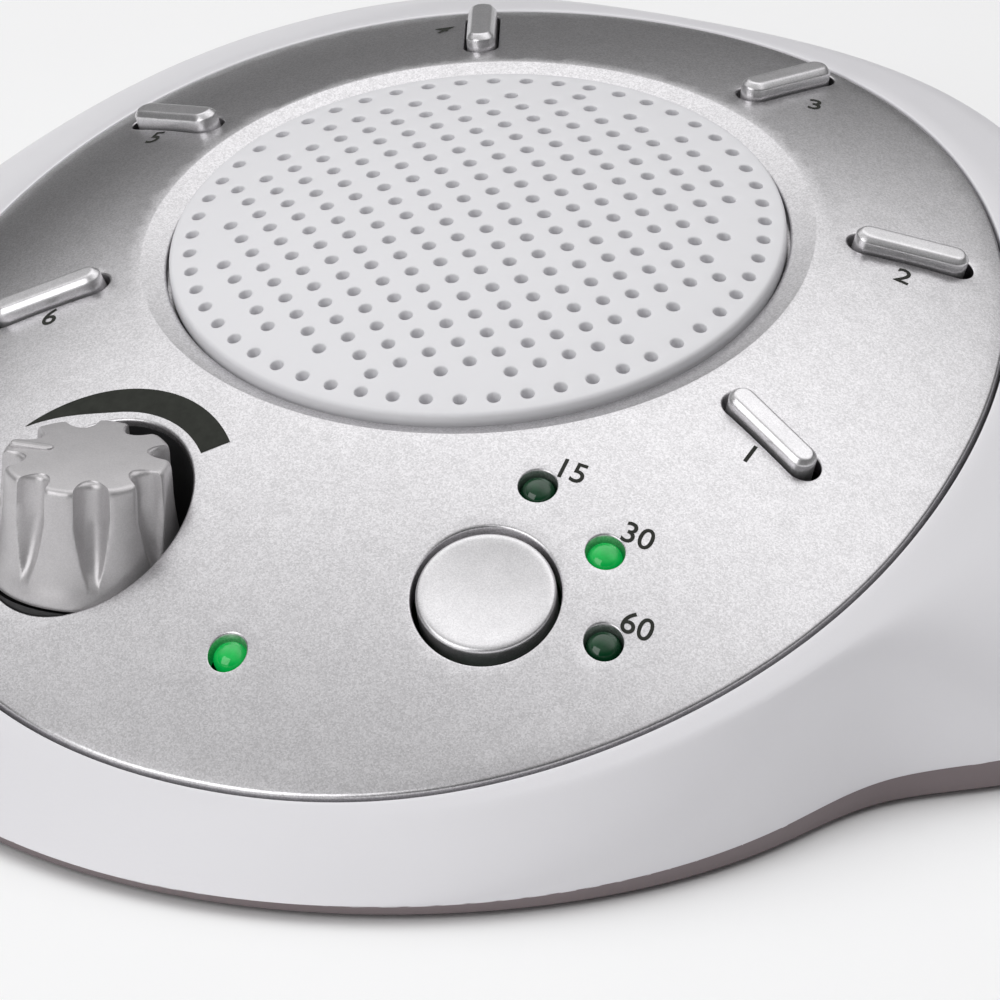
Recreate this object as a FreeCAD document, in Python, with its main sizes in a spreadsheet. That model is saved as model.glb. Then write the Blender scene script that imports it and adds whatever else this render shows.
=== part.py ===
import FreeCAD, Part
import math
import os
import Sketcher
from FreeCAD import Placement, Rotation, Vector

# Tabletop sound machine: a low white housing with a leaning silver faceplate.
# +Z is up, the front edge faces -Y, and the origin is under the middle of the
# object, at the level of the feet.
# The faceplate and all that it carries are drawn in the plate's own frame:
# its origin is the top of the grille, and its +Z is the grille's axis, which
# leans to the front by Sizes.lean.

doc = FreeCAD.newDocument("sound_machine")
sheet = doc.addObject("Spreadsheet::Sheet", "Sizes")

SIZES = {
    # Where the grille's top stands, and how far its axis leans to the front
    "apex_height": 42.0,
    "apex_back": 8.5,
    "lean": 9.0,
    # Faceplate outline, a superellipse, and its thickness
    "plate_half_width": 56.9,
    "plate_half_depth": 62.8,
    "plate_centre": -11.2,
    "plate_power": 2.12,
    "plate_thick": 2.2,
    "plate_gap": 0.35,
    # Crown of the plate: how far its surface falls from the grille's top
    "side_drop": 12.67,
    "side_bend": 0.255,
    "front_drop": 21.6,
    "front_span": 74.0,
    "back_drop": 8.4,
    "back_span": 51.6,
    # Housing
    "shell_wall": 2.2,
    "ledge_width": 3.5,
    "ledge_thick": 1.8,
    "base_front": 70.4,
    "base_back": 70.4,
    "wing_half": 79.5,
    "waist_half": 59.6,
    "seam_front": 1.9,
    "seam_slope": 0.038,
    # Base cover
    "base_bottom": 0.8,
    "floor_thick": 1.9,
    "rim_wall": 1.8,
    "rim_rise": 1.2,
    "rim_gap": 0.3,
    "rim_front_step": 4.5,
    # Grille
    "grille_radius": 32.0,
    "grille_dome": 152.0,
    "grille_thick": 1.8,
    "grille_gap": 0.35,
    "hole_pitch": 3.2,
    "hole_radius": 0.7,
    "hole_field": 27.3,
    "ring_radius": 29.8,
    "ring_holes": 54,
    "bevel_radius": 35.2,
    "bevel_depth": 0.55,
    "cloth_thick": 0.4,
    # Speaker and its collar under the plate
    "collar_inner": 30.3,
    "collar_outer": 34.4,
    "collar_drop": 8.5,
    "speaker_radius": 33.0,
    "flange_thick": 1.2,
    "basket_depth": 7.4,
    "basket_wall": 0.9,
    "magnet_radius": 13.0,
    "magnet_thick": 3.6,
    # Sound buttons
    "slot_length": 12.8,
    "slot_width": 3.7,
    "slot_ring": 44.6,
    "slot_step": 46.0,
    "bar_gap": 0.35,
    "bar_proud": 1.6,
    "bar_bevel": 0.55,
    "flange_grow": 0.9,
    "button_play": 0.3,
    "button_travel": 0.6,
    "stem_radius": 1.5,
    "stem_inset": 3.2,
    # Timer button
    "timer_x": 21.6,
    "timer_y": -49.0,
    "timer_hole": 7.65,
    "timer_radius": 6.85,
    "timer_sink": 0.15,
    "timer_dish": 0.45,
    # Lamps
    "lamp_hole": 2.0,
    "lamp_radius": 1.8,
    "lamp_sink": 0.25,
    "lamp_arc": 13.1,
    "lamp_height": 5.0,
    "power_x": -1.7,
    "power_y": -61.3,
    # Volume knob, upright in its cup, and its potentiometer
    "knob_x": -22.8,
    "knob_y": -48.3,
    "cup_radius": 10.75,
    "cup_wall": 1.5,
    "cup_depth": 7.0,
    "cup_floor": 2.0,
    "knob_base": 10.2,
    "knob_top": 8.7,
    "knob_tall": 12.7,
    "knob_lift": 0.6,
    "knob_wall": 1.6,
    "knob_roof": 2.0,
    "flute_radius": 1.8,
    "flute_count": 8,
    "flute_floor": 3.6,
    "pointer_length": 4.6,
    "pointer_width": 1.1,
    "pointer_rise": 0.45,
    "pointer_angle": 185.5,
    "shaft_radius": 3.0,
    "shaft_gap": 0.03,
    "shaft_tall": 11.0,
    "bush_radius": 3.5,
    "nut_radius": 5.4,
    "nut_thick": 2.0,
    "pot_radius": 8.0,
    "pot_thick": 6.4,
    # Control board under the plate
    "board_level": -20.6,
    "board_thick": 1.6,
    "board_inset": 9.5,
    "board_bore": 35.0,
    "board_cup_gap": 1.4,
    "switch_side": 6.0,
    "switch_tall": 3.5,
    "plunger_radius": 1.6,
    "plunger_rise": 0.8,
    # Screws and bosses
    "boss_radius": 2.9,
    "screw_radius": 1.15,
    "screw_gap": 0.1,
    "head_radius": 2.3,
    "head_tall": 1.6,
    # Battery bay for four AA cells side by side
    "cell_radius": 7.25,
    "cell_length": 50.5,
    "cell_count": 4,
    "bay_front": 1.0,
    "bay_end": 2.0,
    "bay_side": 1.5,
    "bay_wall": 1.2,
    "door_lap": 2.5,
    "door_thick": 1.6,
    "door_gap": 0.3,
    "contact_thick": 0.4,
    "spring_turns": 3.0,
    "spring_pitch": 0.8,
    "spring_radius": 3.4,
    "spring_wire": 0.35,
    # Feet
    "foot_radius": 5.0,
    "foot_thick": 1.5,
    # Power inlet at the back
    "jack_level": 13.2,
    "jack_width": 9.0,
    "jack_depth": 10.2,
    "jack_nose": 4.0,
    "jack_bore": 2.75,
    "jack_pin": 0.95,
    "jack_gap": 0.25,
}

for row, (alias, value) in enumerate(SIZES.items(), start=1):
    sheet.set("A%d" % row, alias)
    sheet.set("B%d" % row, str(value))
    sheet.setAlias("B%d" % row, alias)
doc.recompute()


def size(alias):
    """A driving dimension, read back from the sheet."""
    return float(getattr(sheet, alias))


FULL_TURN = 360.0
UP = Vector(0, 0, 1)
nodes = []


def node(obj, label, placement=None):
    """Give a finished sub-part its name and its place."""
    obj.Label = label
    if placement is not None:
        obj.Placement = placement
    nodes.append(obj)
    return obj


def solid_feature(label, shape, placement=None):
    """A sub-part whose shape comes from formulas."""
    feature = doc.addObject("Part::Feature", label)
    feature.Shape = shape
    return node(feature, label, placement or Placement())


# Frames
lean = math.radians(size("lean"))
plate_frame = Placement(
    Vector(0, size("apex_back"), size("apex_height")),
    Rotation(Vector(1, 0, 0), size("lean")))
upright = Vector(0, math.sin(lean), math.cos(lean))


def crown(x, y):
    """Height of the plate's surface below the grille's top, as a negative number."""
    span = size("plate_half_width")
    share = (x / span) ** 2
    across = size("side_drop") * share * (1 + size("side_bend") * (share - 1))
    front = size("front_drop") / size("front_span") ** 2
    back = size("back_drop") / size("back_span") ** 2
    reach = size("front_span") + size("back_span")
    cubic = (front - back) / reach
    square = back + cubic * size("back_span")
    along = square * y ** 2 - cubic * y ** 3
    return -(across + along)


def crown_slope(x, y):
    """The surface's fall per millimetre along X and along Y."""
    step = 0.01
    along_x = (crown(x + step, y) - crown(x - step, y)) / (2 * step)
    along_y = (crown(x, y + step) - crown(x, y - step)) / (2 * step)
    return along_x, along_y


def crown_normal(x, y):
    along_x, along_y = crown_slope(x, y)
    return Vector(-along_x, -along_y, 1).normalize()


def crown_face():
    """The crowned surface over a rectangle wider than the plate."""
    reach_x = size("plate_half_width") + 12
    low_y = size("plate_centre") - size("plate_half_depth") - 12
    high_y = size("plate_centre") + size("plate_half_depth") + 12
    columns = 13
    rows = 15
    grid = []
    for i in range(columns):
        x = -reach_x + 2 * reach_x * i / (columns - 1)
        line = []
        for j in range(rows):
            y = low_y + (high_y - low_y) * j / (rows - 1)
            line.append(Vector(x, y, crown(x, y)))
        grid.append(line)
    surface = Part.BSplineSurface()
    surface.interpolate(grid)
    return surface.toShape()


def crown_slab(drop, thick):
    """The material between the crowned surface lowered by drop and drop + thick."""
    face = crown_face()
    face.translate(Vector(0, 0, -drop))
    return face.extrude(Vector(0, 0, -thick))


def oval_point(turn, grow):
    """A point of the plate's outline, moved outwards by grow."""
    power = 2 / size("plate_power")
    cosine = math.cos(math.radians(turn))
    sine = math.sin(math.radians(turn))
    half_x = size("plate_half_width") + grow
    half_y = size("plate_half_depth") + grow
    x = math.copysign(half_x * abs(cosine) ** power, cosine)
    y = math.copysign(half_y * abs(sine) ** power, sine)
    return x, size("plate_centre") + y


def closed_wire(points):
    curve = Part.BSplineCurve()
    curve.interpolate(Points=points, PeriodicFlag=True)
    return Part.Wire([curve.toShape()])


def oval_prism(grow, low, high):
    """An upright prism over the plate's outline, in the plate's frame."""
    stations = 48
    points = []
    for i in range(stations):
        x, y = oval_point(FULL_TURN * i / stations, grow)
        points.append(Vector(x, y, low))
    return Part.Face(closed_wire(points)).extrude(Vector(0, 0, high - low))


def fused(shapes):
    return shapes[0].multiFuse(shapes[1:]).removeSplitter()


# Places on the plate, as x and y in its frame
def sound_angles():
    step = size("slot_step")
    return [90 + step * (i - 2.5) for i in range(6)]


def ring_point(radius, angle):
    turn = math.radians(angle)
    return radius * math.cos(turn), radius * math.sin(turn)


def lamp_places():
    """The three timer lamps on an arc round the timer button, then the power lamp."""
    places = []
    for angle in (90, 45, 0):
        dx, dy = ring_point(size("lamp_arc"), angle)
        places.append((size("timer_x") + dx, size("timer_y") + dy))
    places.append((size("power_x"), size("power_y")))
    return places


BOARD_SCREWS = [(43.0, -3.0), (-43.0, -3.0), (0.0, 42.0), (7.0, -54.0)]


def tilted_place(x, y, rise, turn=0.0):
    """A place on the surface, raised along the grille's axis, lying along the slope."""
    tilt = Rotation(UP, crown_normal(x, y))
    return Placement(Vector(x, y, crown(x, y) + rise), tilt * Rotation(UP, turn))


def stadium(length, width):
    """A slot's outline along X, with round ends."""
    half = (length - width) / 2
    radius = width / 2
    top = Part.LineSegment(Vector(-half, radius, 0), Vector(half, radius, 0))
    right = Part.Arc(Vector(half, radius, 0), Vector(half + radius, 0, 0), Vector(half, -radius, 0))
    bottom = Part.LineSegment(Vector(half, -radius, 0), Vector(-half, -radius, 0))
    left = Part.Arc(Vector(-half, -radius, 0), Vector(-half - radius, 0, 0), Vector(-half, radius, 0))
    return Part.Wire([edge.toShape() for edge in (top, right, bottom, left)])


def placed_wire(wire, placement):
    copy = wire.copy()
    copy.Placement = placement
    return copy


# Faceplate
def knob_point(rise):
    """A point on the knob's upright axis, measured up from the plate's surface."""
    x = size("knob_x")
    y = size("knob_y")
    return Vector(x, y, crown(x, y)) + upright * rise


def make_faceplate():
    thick = size("plate_thick")
    deep = 30
    plate = crown_slab(0, thick).common(oval_prism(0, -deep - 10, 10))
    below = crown_slab(thick / 2, deep)

    collar = Part.makeCylinder(size("collar_outer"), deep, Vector(0, 0, -size("collar_drop")))
    bosses = [collar.common(below)]
    for x, y in BOARD_SCREWS:
        post = Part.makeCylinder(size("boss_radius"), deep, Vector(x, y, size("board_level")))
        bosses.append(post.common(below))
    cup_low = size("cup_depth") + size("cup_floor")
    cup_outer = size("cup_radius") + size("cup_wall")
    cup = Part.makeCylinder(cup_outer, deep, knob_point(-cup_low), upright)
    bosses.append(cup.common(below))
    plate = fused([plate] + bosses)

    opening = size("grille_radius") + size("grille_gap")
    seat = grille_edge_level() - size("grille_thick")
    plate = plate.cut(Part.makeCylinder(opening, deep, Vector(0, 0, seat)))
    plate = plate.cut(Part.makeCylinder(size("collar_inner"), 2 * deep, Vector(0, 0, -deep)))
    bevel_inner = crown(0, size("bevel_radius")) - size("bevel_depth")
    bevel_fall = size("bevel_depth") / (size("bevel_radius") - opening)
    bevel_reach = 4
    bevel = Part.makeCone(
        opening - bevel_reach, size("bevel_radius") + bevel_reach,
        bevel_fall * (size("bevel_radius") - opening + 2 * bevel_reach),
        Vector(0, 0, bevel_inner - bevel_fall * bevel_reach))
    plate = plate.cut(bevel)
    cuts = []
    for x, y in BOARD_SCREWS:
        hole = size("screw_radius") + size("screw_gap")
        cuts.append(Part.makeCylinder(hole, 6, Vector(x, y, size("board_level"))))
    cuts.append(Part.makeCylinder(size("cup_radius"), deep, knob_point(-size("cup_depth")), upright))
    bush = size("bush_radius") + 0.1
    cuts.append(Part.makeCylinder(bush, deep, knob_point(-cup_low - 1), upright))
    timer = Vector(size("timer_x"), size("timer_y"), -deep)
    cuts.append(Part.makeCylinder(size("timer_hole"), 2 * deep, timer))
    for x, y in lamp_places():
        cuts.append(Part.makeCylinder(size("lamp_hole"), 2 * deep, Vector(x, y, -deep)))
    for angle in sound_angles():
        x, y = ring_point(size("slot_ring"), angle)
        outline = stadium(size("slot_length"), size("slot_width"))
        outline.Placement = Placement(Vector(x, y, -deep), Rotation(UP, angle))
        cuts.append(Part.Face(outline).extrude(Vector(0, 0, 2 * deep)))
    return plate.cut(cuts)


def grille_edge_level():
    """Height of the grille's top surface at its edge."""
    radius = size("grille_dome")
    return math.sqrt(radius ** 2 - size("grille_radius") ** 2) - radius


solid_feature("faceplate", make_faceplate(), plate_frame)


# Turned and padded pieces, as bodies whose sketches are bound to the sheet
def plane_of(body, role):
    return [item for item in body.Origin.OriginFeatures if item.Role == role][0]


def corner_sketch(body, name, role, corners):
    """A closed outline of straight edges; each corner is a pair of expressions."""
    sketch = body.newObject("Sketcher::SketchObject", name)
    sketch.AttachmentSupport = [(plane_of(body, role), "")]
    sketch.MapMode = "FlatFace"
    places = []
    for along, up in corners:
        x = sketch.evalExpression(along)
        y = sketch.evalExpression(up)
        places.append(Vector(float(x), float(y), 0))
    count = len(places)
    for i in range(count):
        sketch.addGeometry(Part.LineSegment(places[i], places[(i + 1) % count]))
    for i in range(count):
        sketch.addConstraint(Sketcher.Constraint("Coincident", i, 2, (i + 1) % count, 1))
    for i, (along, up) in enumerate(corners):
        if along == "0":
            sketch.addConstraint(Sketcher.Constraint("PointOnObject", i, 1, -2))
        else:
            rule = Sketcher.Constraint("DistanceX", -1, 1, i, 1, places[i].x)
            sketch.setExpression("Constraints[%d]" % sketch.addConstraint(rule), along)
        if up == "0":
            sketch.addConstraint(Sketcher.Constraint("PointOnObject", i, 1, -1))
        else:
            rule = Sketcher.Constraint("DistanceY", -1, 1, i, 1, places[i].y)
            sketch.setExpression("Constraints[%d]" % sketch.addConstraint(rule), up)
    doc.recompute()
    return sketch


def turned_body(name, corners):
    """A body turned about its Z axis from an outline in its XZ plane."""
    body = doc.addObject("PartDesign::Body", name)
    sketch = corner_sketch(body, name + "_profile", "XZ_Plane", corners)
    turn = body.newObject("PartDesign::Revolution", name + "_turn")
    turn.Profile = sketch
    turn.ReferenceAxis = (sketch, ["V_Axis"])
    turn.Angle = FULL_TURN
    doc.recompute()
    return body


def padded_body(name, corners, length, role="XY_Plane"):
    """A body padded from an outline of straight edges."""
    body = doc.addObject("PartDesign::Body", name)
    sketch = corner_sketch(body, name + "_outline", role, corners)
    pad = body.newObject("PartDesign::Pad", name + "_pad")
    pad.Profile = sketch
    pad.setExpression("Length", length)
    doc.recompute()
    return body


def circle_sketch(body, name, circles):
    """Circles on the XY plane; each is x, y and radius as expressions."""
    sketch = body.newObject("Sketcher::SketchObject", name)
    sketch.AttachmentSupport = [(plane_of(body, "XY_Plane"), "")]
    sketch.MapMode = "FlatFace"
    for i, (along, up, radius) in enumerate(circles):
        x = float(sketch.evalExpression(along))
        y = float(sketch.evalExpression(up))
        r = float(sketch.evalExpression(radius))
        sketch.addGeometry(Part.Circle(Vector(x, y, 0), UP, r))
        rule = sketch.addConstraint(Sketcher.Constraint("Radius", i, r))
        sketch.setExpression("Constraints[%d]" % rule, radius)
        for kind, text, value, axis in (("DistanceX", along, x, -2), ("DistanceY", up, y, -1)):
            if text == "0":
                sketch.addConstraint(Sketcher.Constraint("PointOnObject", i, 3, axis))
            else:
                rule = sketch.addConstraint(Sketcher.Constraint(kind, -1, 1, i, 3, value))
                sketch.setExpression("Constraints[%d]" % rule, text)
    doc.recompute()
    return sketch


def copies(label, source, placements):
    """One node that holds several equal solids."""
    shapes = []
    for placement in placements:
        shape = source.Shape.copy()
        shape.Placement = placement.multiply(shape.Placement)
        shapes.append(shape)
    return solid_feature(label, Part.makeCompound(shapes))


# Upper housing
def stations():
    """Half of the outline from the front to the back, at matching stations.

    Each station is the direction on the plate's outline, the width of the white band
    beside the plate there, and the foot of the wall on the ground.
    """
    front = size("base_front")
    back = size("base_back")
    wing = size("wing_half")
    waist = size("waist_half")
    return [
        (-90, 2.0, 0, -front),
        (-72, 2.0, 0.42 * waist, -0.92 * front),
        (-54, 2.2, 0.71 * waist, -0.746 * front),
        (-36, 2.6, 0.895 * waist, -0.515 * front),
        (-20, 3.2, waist, -0.333 * front),
        (-7, 4.2, 0.86 * wing, -0.225 * front),
        (8, 5.5, 0.985 * wing, -0.03 * front),
        (24, 7.5, wing, 0.24 * back),
        (42, 10.0, 0.85 * wing, 0.58 * back),
        (64, 8.0, 0.5 * wing, 0.88 * back),
        (90, 2.6, 0, back),
    ]


def seam_level(y):
    """Height of the joint between housing and base cover."""
    return size("seam_front") + size("seam_slope") * (y + size("base_front"))


def inwards(x, y, distance):
    """A point of the ground outline moved towards its middle."""
    reach = math.hypot(x, y)
    return x * (1 - distance / reach), y * (1 - distance / reach)


def on_crown(angle, grow, drop):
    x, y = oval_point(angle, grow)
    return plate_frame.multVec(Vector(x, y, crown(x, y) - drop))


def wall_points(start, before, foot):
    """Points down a wall that leaves the crown along its slope and ends upright."""
    outward = Vector(foot.x - start.x, foot.y - start.y, 0)
    rise = start - before
    run = math.hypot(rise.x, rise.y)
    level = max(start.z + outward.Length * rise.z / run, foot.z)
    corner = Vector(foot.x, foot.y, level)
    points = []
    for share in (0, 0.22, 0.45, 0.72, 1.0):
        rest = 1 - share
        points.append(start * rest ** 2 + corner * (2 * share * rest) + foot * share ** 2)
    return points


def full_loop(half_points):
    """Mirror the inner stations of a half outline to close it."""
    mirrored = [Vector(-p.x, p.y, p.z) for p in half_points[-2:0:-1]]
    return closed_wire(half_points + mirrored)


def half_curve(half_points):
    """A half outline, cut from the smooth closed curve that it makes with its mirror image."""
    mirrored = [Vector(-p.x, p.y, p.z) for p in half_points[-2:0:-1]]
    curve = Part.BSplineCurve()
    curve.interpolate(Points=half_points + mirrored, PeriodicFlag=True)
    end = curve.parameter(half_points[-1])
    return Part.Wire([curve.toShape(curve.FirstParameter, end)])


def ring_solid(groups):
    """A ring whose section is given by groups of rows; each group is one smooth skin."""
    skins = []
    for rows in groups:
        curves = [half_curve(row) for row in rows]
        for face in Part.makeLoft(curves, False, len(curves) == 2).Faces:
            skins += [face, face.mirror(Vector(0, 0, 0), Vector(1, 0, 0))]
    shell = Part.Compound(skins)
    shell.sewShape(0.001)
    solid = Part.Solid(shell.Shells[0])
    if solid.Volume < 0:
        solid.reverse()
    return solid


def make_housing():
    gap = size("plate_gap")
    under = size("plate_thick") + 0.05
    low = under + size("ledge_thick")
    wall = size("shell_wall")
    edge = []
    outer = []
    inner = []
    seat_out = []
    seat_in = []
    seat_low = []
    for angle, band, foot_x, foot_y in stations():
        edge.append(on_crown(angle, gap, 0))
        seat_out.append(on_crown(angle, gap, under))
        seat_in.append(on_crown(angle, -size("ledge_width"), under))
        seat_low.append(on_crown(angle, -size("ledge_width"), low))
        lip = on_crown(angle, band, 0)
        before = on_crown(angle, band - 0.5, 0)
        foot = Vector(foot_x, foot_y, seam_level(foot_y))
        outer.append(wall_points(lip, before, foot))
        start = on_crown(angle, gap, low)
        before = on_crown(angle, gap - 0.5, low)
        in_x, in_y = inwards(foot_x, foot_y, wall)
        inner.append(wall_points(start, before, Vector(in_x, in_y, seam_level(in_y))))
    outer_rows = [list(row) for row in zip(*outer)]
    inner_rows = [list(row) for row in zip(*inner)]
    groups = [
        [edge, outer_rows[0]],
        outer_rows,
        [outer_rows[-1], inner_rows[-1]],
        inner_rows,
        [inner_rows[0], seat_low],
        [seat_low, seat_in],
        [seat_in, seat_out],
        [seat_out, edge],
    ]
    return ring_solid(groups)


# Places under the plate, as x and y in the object's own frame
HOUSING_SCREWS = [(66.0, 4.0), (-66.0, 4.0), (47.0, 46.0), (-47.0, 46.0)]
FOOT_PLACES = [(30.0, -50.0), (-30.0, -50.0), (64.0, 20.0), (-64.0, 20.0)]


def bay_box(grow, low, high):
    """The battery bay's inner space, grown on its four sides."""
    half = size("cell_count") * size("cell_radius") + size("bay_side") + grow
    start = size("bay_front") - grow
    length = size("cell_length") + 2 * size("bay_end") + 2 * grow
    return Part.makeBox(2 * half, length, high - low, Vector(-half, start, low))


def bay_ceiling():
    return floor_top() + 2 * size("cell_radius") + 0.6


def floor_top():
    return size("base_bottom") + size("floor_thick")


def base_outline(inset, level, front_step=0):
    """The ground outline moved inwards, and further by front_step where the housing is low.

    The level gives its height at each point.
    """
    points = []
    for _, _, foot_x, foot_y in stations():
        nearness = min(1, max(0, (-foot_y / size("base_front") - 0.5) / 0.4))
        x, y = inwards(foot_x, foot_y, inset + front_step * nearness)
        points.append(Vector(x, y, level(y)))
    return full_loop(points)


def base_block(inset_low, inset_high, low, high, front_step=0):
    """A block between two outlines of the base, each flat."""
    rings = [base_outline(inset_low, low, front_step), base_outline(inset_high, high, front_step)]
    return Part.makeLoft(rings, True, True)


def jack_place():
    return Vector(0, size("base_back") - size("shell_wall") - 0.9, size("jack_level"))


def material_over(shape, x, y):
    """Lowest and highest level of the topmost material over a point."""
    line = Part.makeLine(Vector(x, y, 0), Vector(x, y, 2 * size("apex_height")))
    pieces = shape.common(line).Edges
    top = max(pieces, key=lambda edge: edge.BoundBox.ZMax)
    return top.BoundBox.ZMin, top.BoundBox.ZMax


def post_under(shape, x, y, radius, low):
    """A post that rises from low and ends inside the skin over it."""
    levels = []
    for turn in (0, 90, 180, 270):
        dx, dy = ring_point(radius, turn)
        inside, outside = material_over(shape, x + dx, y + dy)
        levels.append(inside + 0.7 * (outside - inside))
    return Part.makeCylinder(radius, min(levels) - low, Vector(x, y, low))


def make_upper_housing():
    shell = make_housing()
    low = floor_top() + 0.1
    posts = [post_under(shell, x, y, size("boss_radius"), low) for x, y in HOUSING_SCREWS]
    shell = fused([shell] + posts)
    cuts = []
    for x, y in HOUSING_SCREWS:
        hole = size("screw_radius") + size("screw_gap")
        cuts.append(Part.makeCylinder(hole, 9, Vector(x, y, low)))
    nose = size("jack_nose") + size("jack_gap")
    cuts.append(Part.makeCylinder(nose, 12, jack_place() - Vector(0, 3, 0), Vector(0, 1, 0)))
    return shell.cut(cuts + button_notches())


def button_notches():
    """Cuts through the plate's ledge where the sound buttons pass it."""
    notches = []
    grow = size("flange_grow") + 2 * size("bar_gap")
    for angle in sound_angles():
        x, y = ring_point(size("slot_ring") - grow, angle)
        outline = stadium(size("slot_length") + 2 * grow, size("slot_width") + 2 * grow)
        outline.Placement = Placement(Vector(x, y, size("board_level")), Rotation(UP, angle))
        high = crown(x, y) - size("board_level")
        prism = Part.Face(outline).extrude(Vector(0, 0, high))
        prism = prism.common(crown_slab(size("plate_thick") + 0.02, 2 * high))
        prism.Placement = plate_frame.multiply(prism.Placement)
        notches.append(prism)
    return notches


def make_base_cover():
    def bottom(y):
        return size("base_bottom")

    def joint(y):
        return seam_level(y) - 0.05

    def rim(y):
        return seam_level(y) + size("rim_rise")

    def above(y):
        return size("apex_height")

    def floor(y):
        return floor_top()

    inset = size("shell_wall") + size("rim_gap")
    outer = base_block(0.7, 0, bottom, joint)
    step = size("rim_front_step")
    locating = base_block(inset, inset, bottom, rim, step)
    hollow = base_block(inset + size("rim_wall"), inset + size("rim_wall"), floor, above, step)
    cover = fused([outer, locating]).cut(hollow)

    ceiling = bay_ceiling()
    bay_walls = bay_box(size("bay_wall"), size("base_bottom"), ceiling + size("bay_wall"))
    parts = [cover, bay_walls]
    for x, y in HOUSING_SCREWS:
        parts.append(Part.makeCylinder(size("boss_radius") + 1.2, 1.5, Vector(x, y, floor_top() - 1.4)))
    jack = jack_place()
    half = size("jack_width") / 2
    seat = jack.z - size("jack_width") / 2
    cradle_y = jack.y - size("jack_depth") - 0.4
    parts.append(Part.makeBox(
        2 * half, size("jack_depth") - 1.5, seat - size("base_bottom"),
        Vector(-half, cradle_y, size("base_bottom"))))
    cover = fused(parts)

    cuts = [bay_box(0, size("base_bottom") - 1, ceiling)]
    lap = size("door_lap")
    door_top = size("base_bottom") + size("door_thick") + 0.1
    cuts.append(door_recess(lap, door_top))
    for x, y in HOUSING_SCREWS:
        clear = size("screw_radius") + 0.25
        cuts.append(Part.makeCylinder(clear, 10, Vector(x, y, 0)))
        head = size("head_radius") + 0.2
        cuts.append(Part.makeCylinder(head, size("head_tall") - 0.4, Vector(x, y, size("base_bottom"))))
    for x, y in FOOT_PLACES:
        sink = size("foot_thick") - size("base_bottom")
        cuts.append(Part.makeCylinder(size("foot_radius") + 0.1, sink, Vector(x, y, size("base_bottom"))))
    return cover.cut(cuts)


def door_recess(lap, door_top):
    """The shallow step round the bay's mouth that the door lies in."""
    half = size("cell_count") * size("cell_radius") + size("bay_side") + lap
    start = size("bay_front")
    length = size("cell_length") + 2 * size("bay_end") + lap
    low = size("base_bottom") - 1
    return Part.makeBox(2 * half, length, door_top - low, Vector(-half, start, low))


solid_feature("upper_housing", make_upper_housing())
solid_feature("base_cover", make_base_cover())


# Grille and the dust cloth behind it
def dome_cap(radius, drop, thick):
    """A round cap of the grille's dome, its top surface lowered by drop."""
    ball = size("grille_dome")
    centre = Vector(0, 0, -ball - drop)
    shell = Part.makeSphere(ball, centre).cut(Part.makeSphere(ball - thick, centre))
    return shell.common(Part.makeCylinder(radius, ball, Vector(0, 0, -ball / 2)))


def grille_holes():
    """A square grid turned by 45 degrees, and a ring of holes near the edge."""
    pitch = size("hole_pitch")
    steps = int(size("hole_field") / pitch) + 1
    places = []
    turn = math.radians(45)
    for i in range(-steps, steps + 1):
        for j in range(-steps, steps + 1):
            x = pitch * (i * math.cos(turn) - j * math.sin(turn))
            y = pitch * (i * math.sin(turn) + j * math.cos(turn))
            if math.hypot(x, y) <= size("hole_field"):
                places.append((x, y))
    count = int(size("ring_holes"))
    for i in range(count):
        places.append(ring_point(size("ring_radius"), FULL_TURN * (i + 0.5) / count))
    return places


def make_grille():
    cap = dome_cap(size("grille_radius"), 0, size("grille_thick"))
    seat = grille_edge_level() - size("grille_thick")
    skirt = Part.makeCylinder(size("grille_radius"), 1.0, Vector(0, 0, seat))
    skirt = skirt.cut(Part.makeCylinder(size("collar_inner"), 3, Vector(0, 0, seat - 1)))
    skirt = skirt.common(Part.makeSphere(size("grille_dome"), Vector(0, 0, -size("grille_dome"))))
    drills = []
    for x, y in grille_holes():
        drills.append(Part.makeCylinder(size("hole_radius"), 12, Vector(x, y, -10)))
    return fused([cap, skirt]).cut(Part.makeCompound(drills))


def make_cloth():
    drop = size("grille_thick") + 0.05
    return dome_cap(size("collar_inner") - 0.3, drop, size("cloth_thick"))


solid_feature("speaker_grille", make_grille(), plate_frame)
solid_feature("grille_cloth", make_cloth(), plate_frame)

# Speaker under the collar
SPEAKER = {
    "rim": "Sizes.speaker_radius",
    "bore": "Sizes.collar_inner - 3.8",
    "flange": "Sizes.flange_thick",
    "deep": "Sizes.basket_depth",
    "skin": "Sizes.basket_wall",
    "neck": "Sizes.magnet_radius - 1",
}
speaker_low = -size("collar_drop") - size("flange_thick")
speaker_frame_place = plate_frame.multiply(Placement(Vector(0, 0, speaker_low), Rotation()))

basket = turned_body("speaker_frame", [
    ("%(bore)s" % SPEAKER, "%(flange)s" % SPEAKER),
    ("%(rim)s" % SPEAKER, "%(flange)s" % SPEAKER),
    ("%(rim)s" % SPEAKER, "0"),
    ("%(bore)s + %(skin)s" % SPEAKER, "0"),
    ("%(neck)s + 3" % SPEAKER, "-(%(deep)s)" % SPEAKER),
    ("4.6", "-(%(deep)s)" % SPEAKER),
    ("4.6", "%(skin)s - %(deep)s" % SPEAKER),
    ("%(neck)s + 3 - %(skin)s" % SPEAKER, "%(skin)s - %(deep)s" % SPEAKER),
])
node(basket, "speaker_frame", speaker_frame_place)

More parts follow.
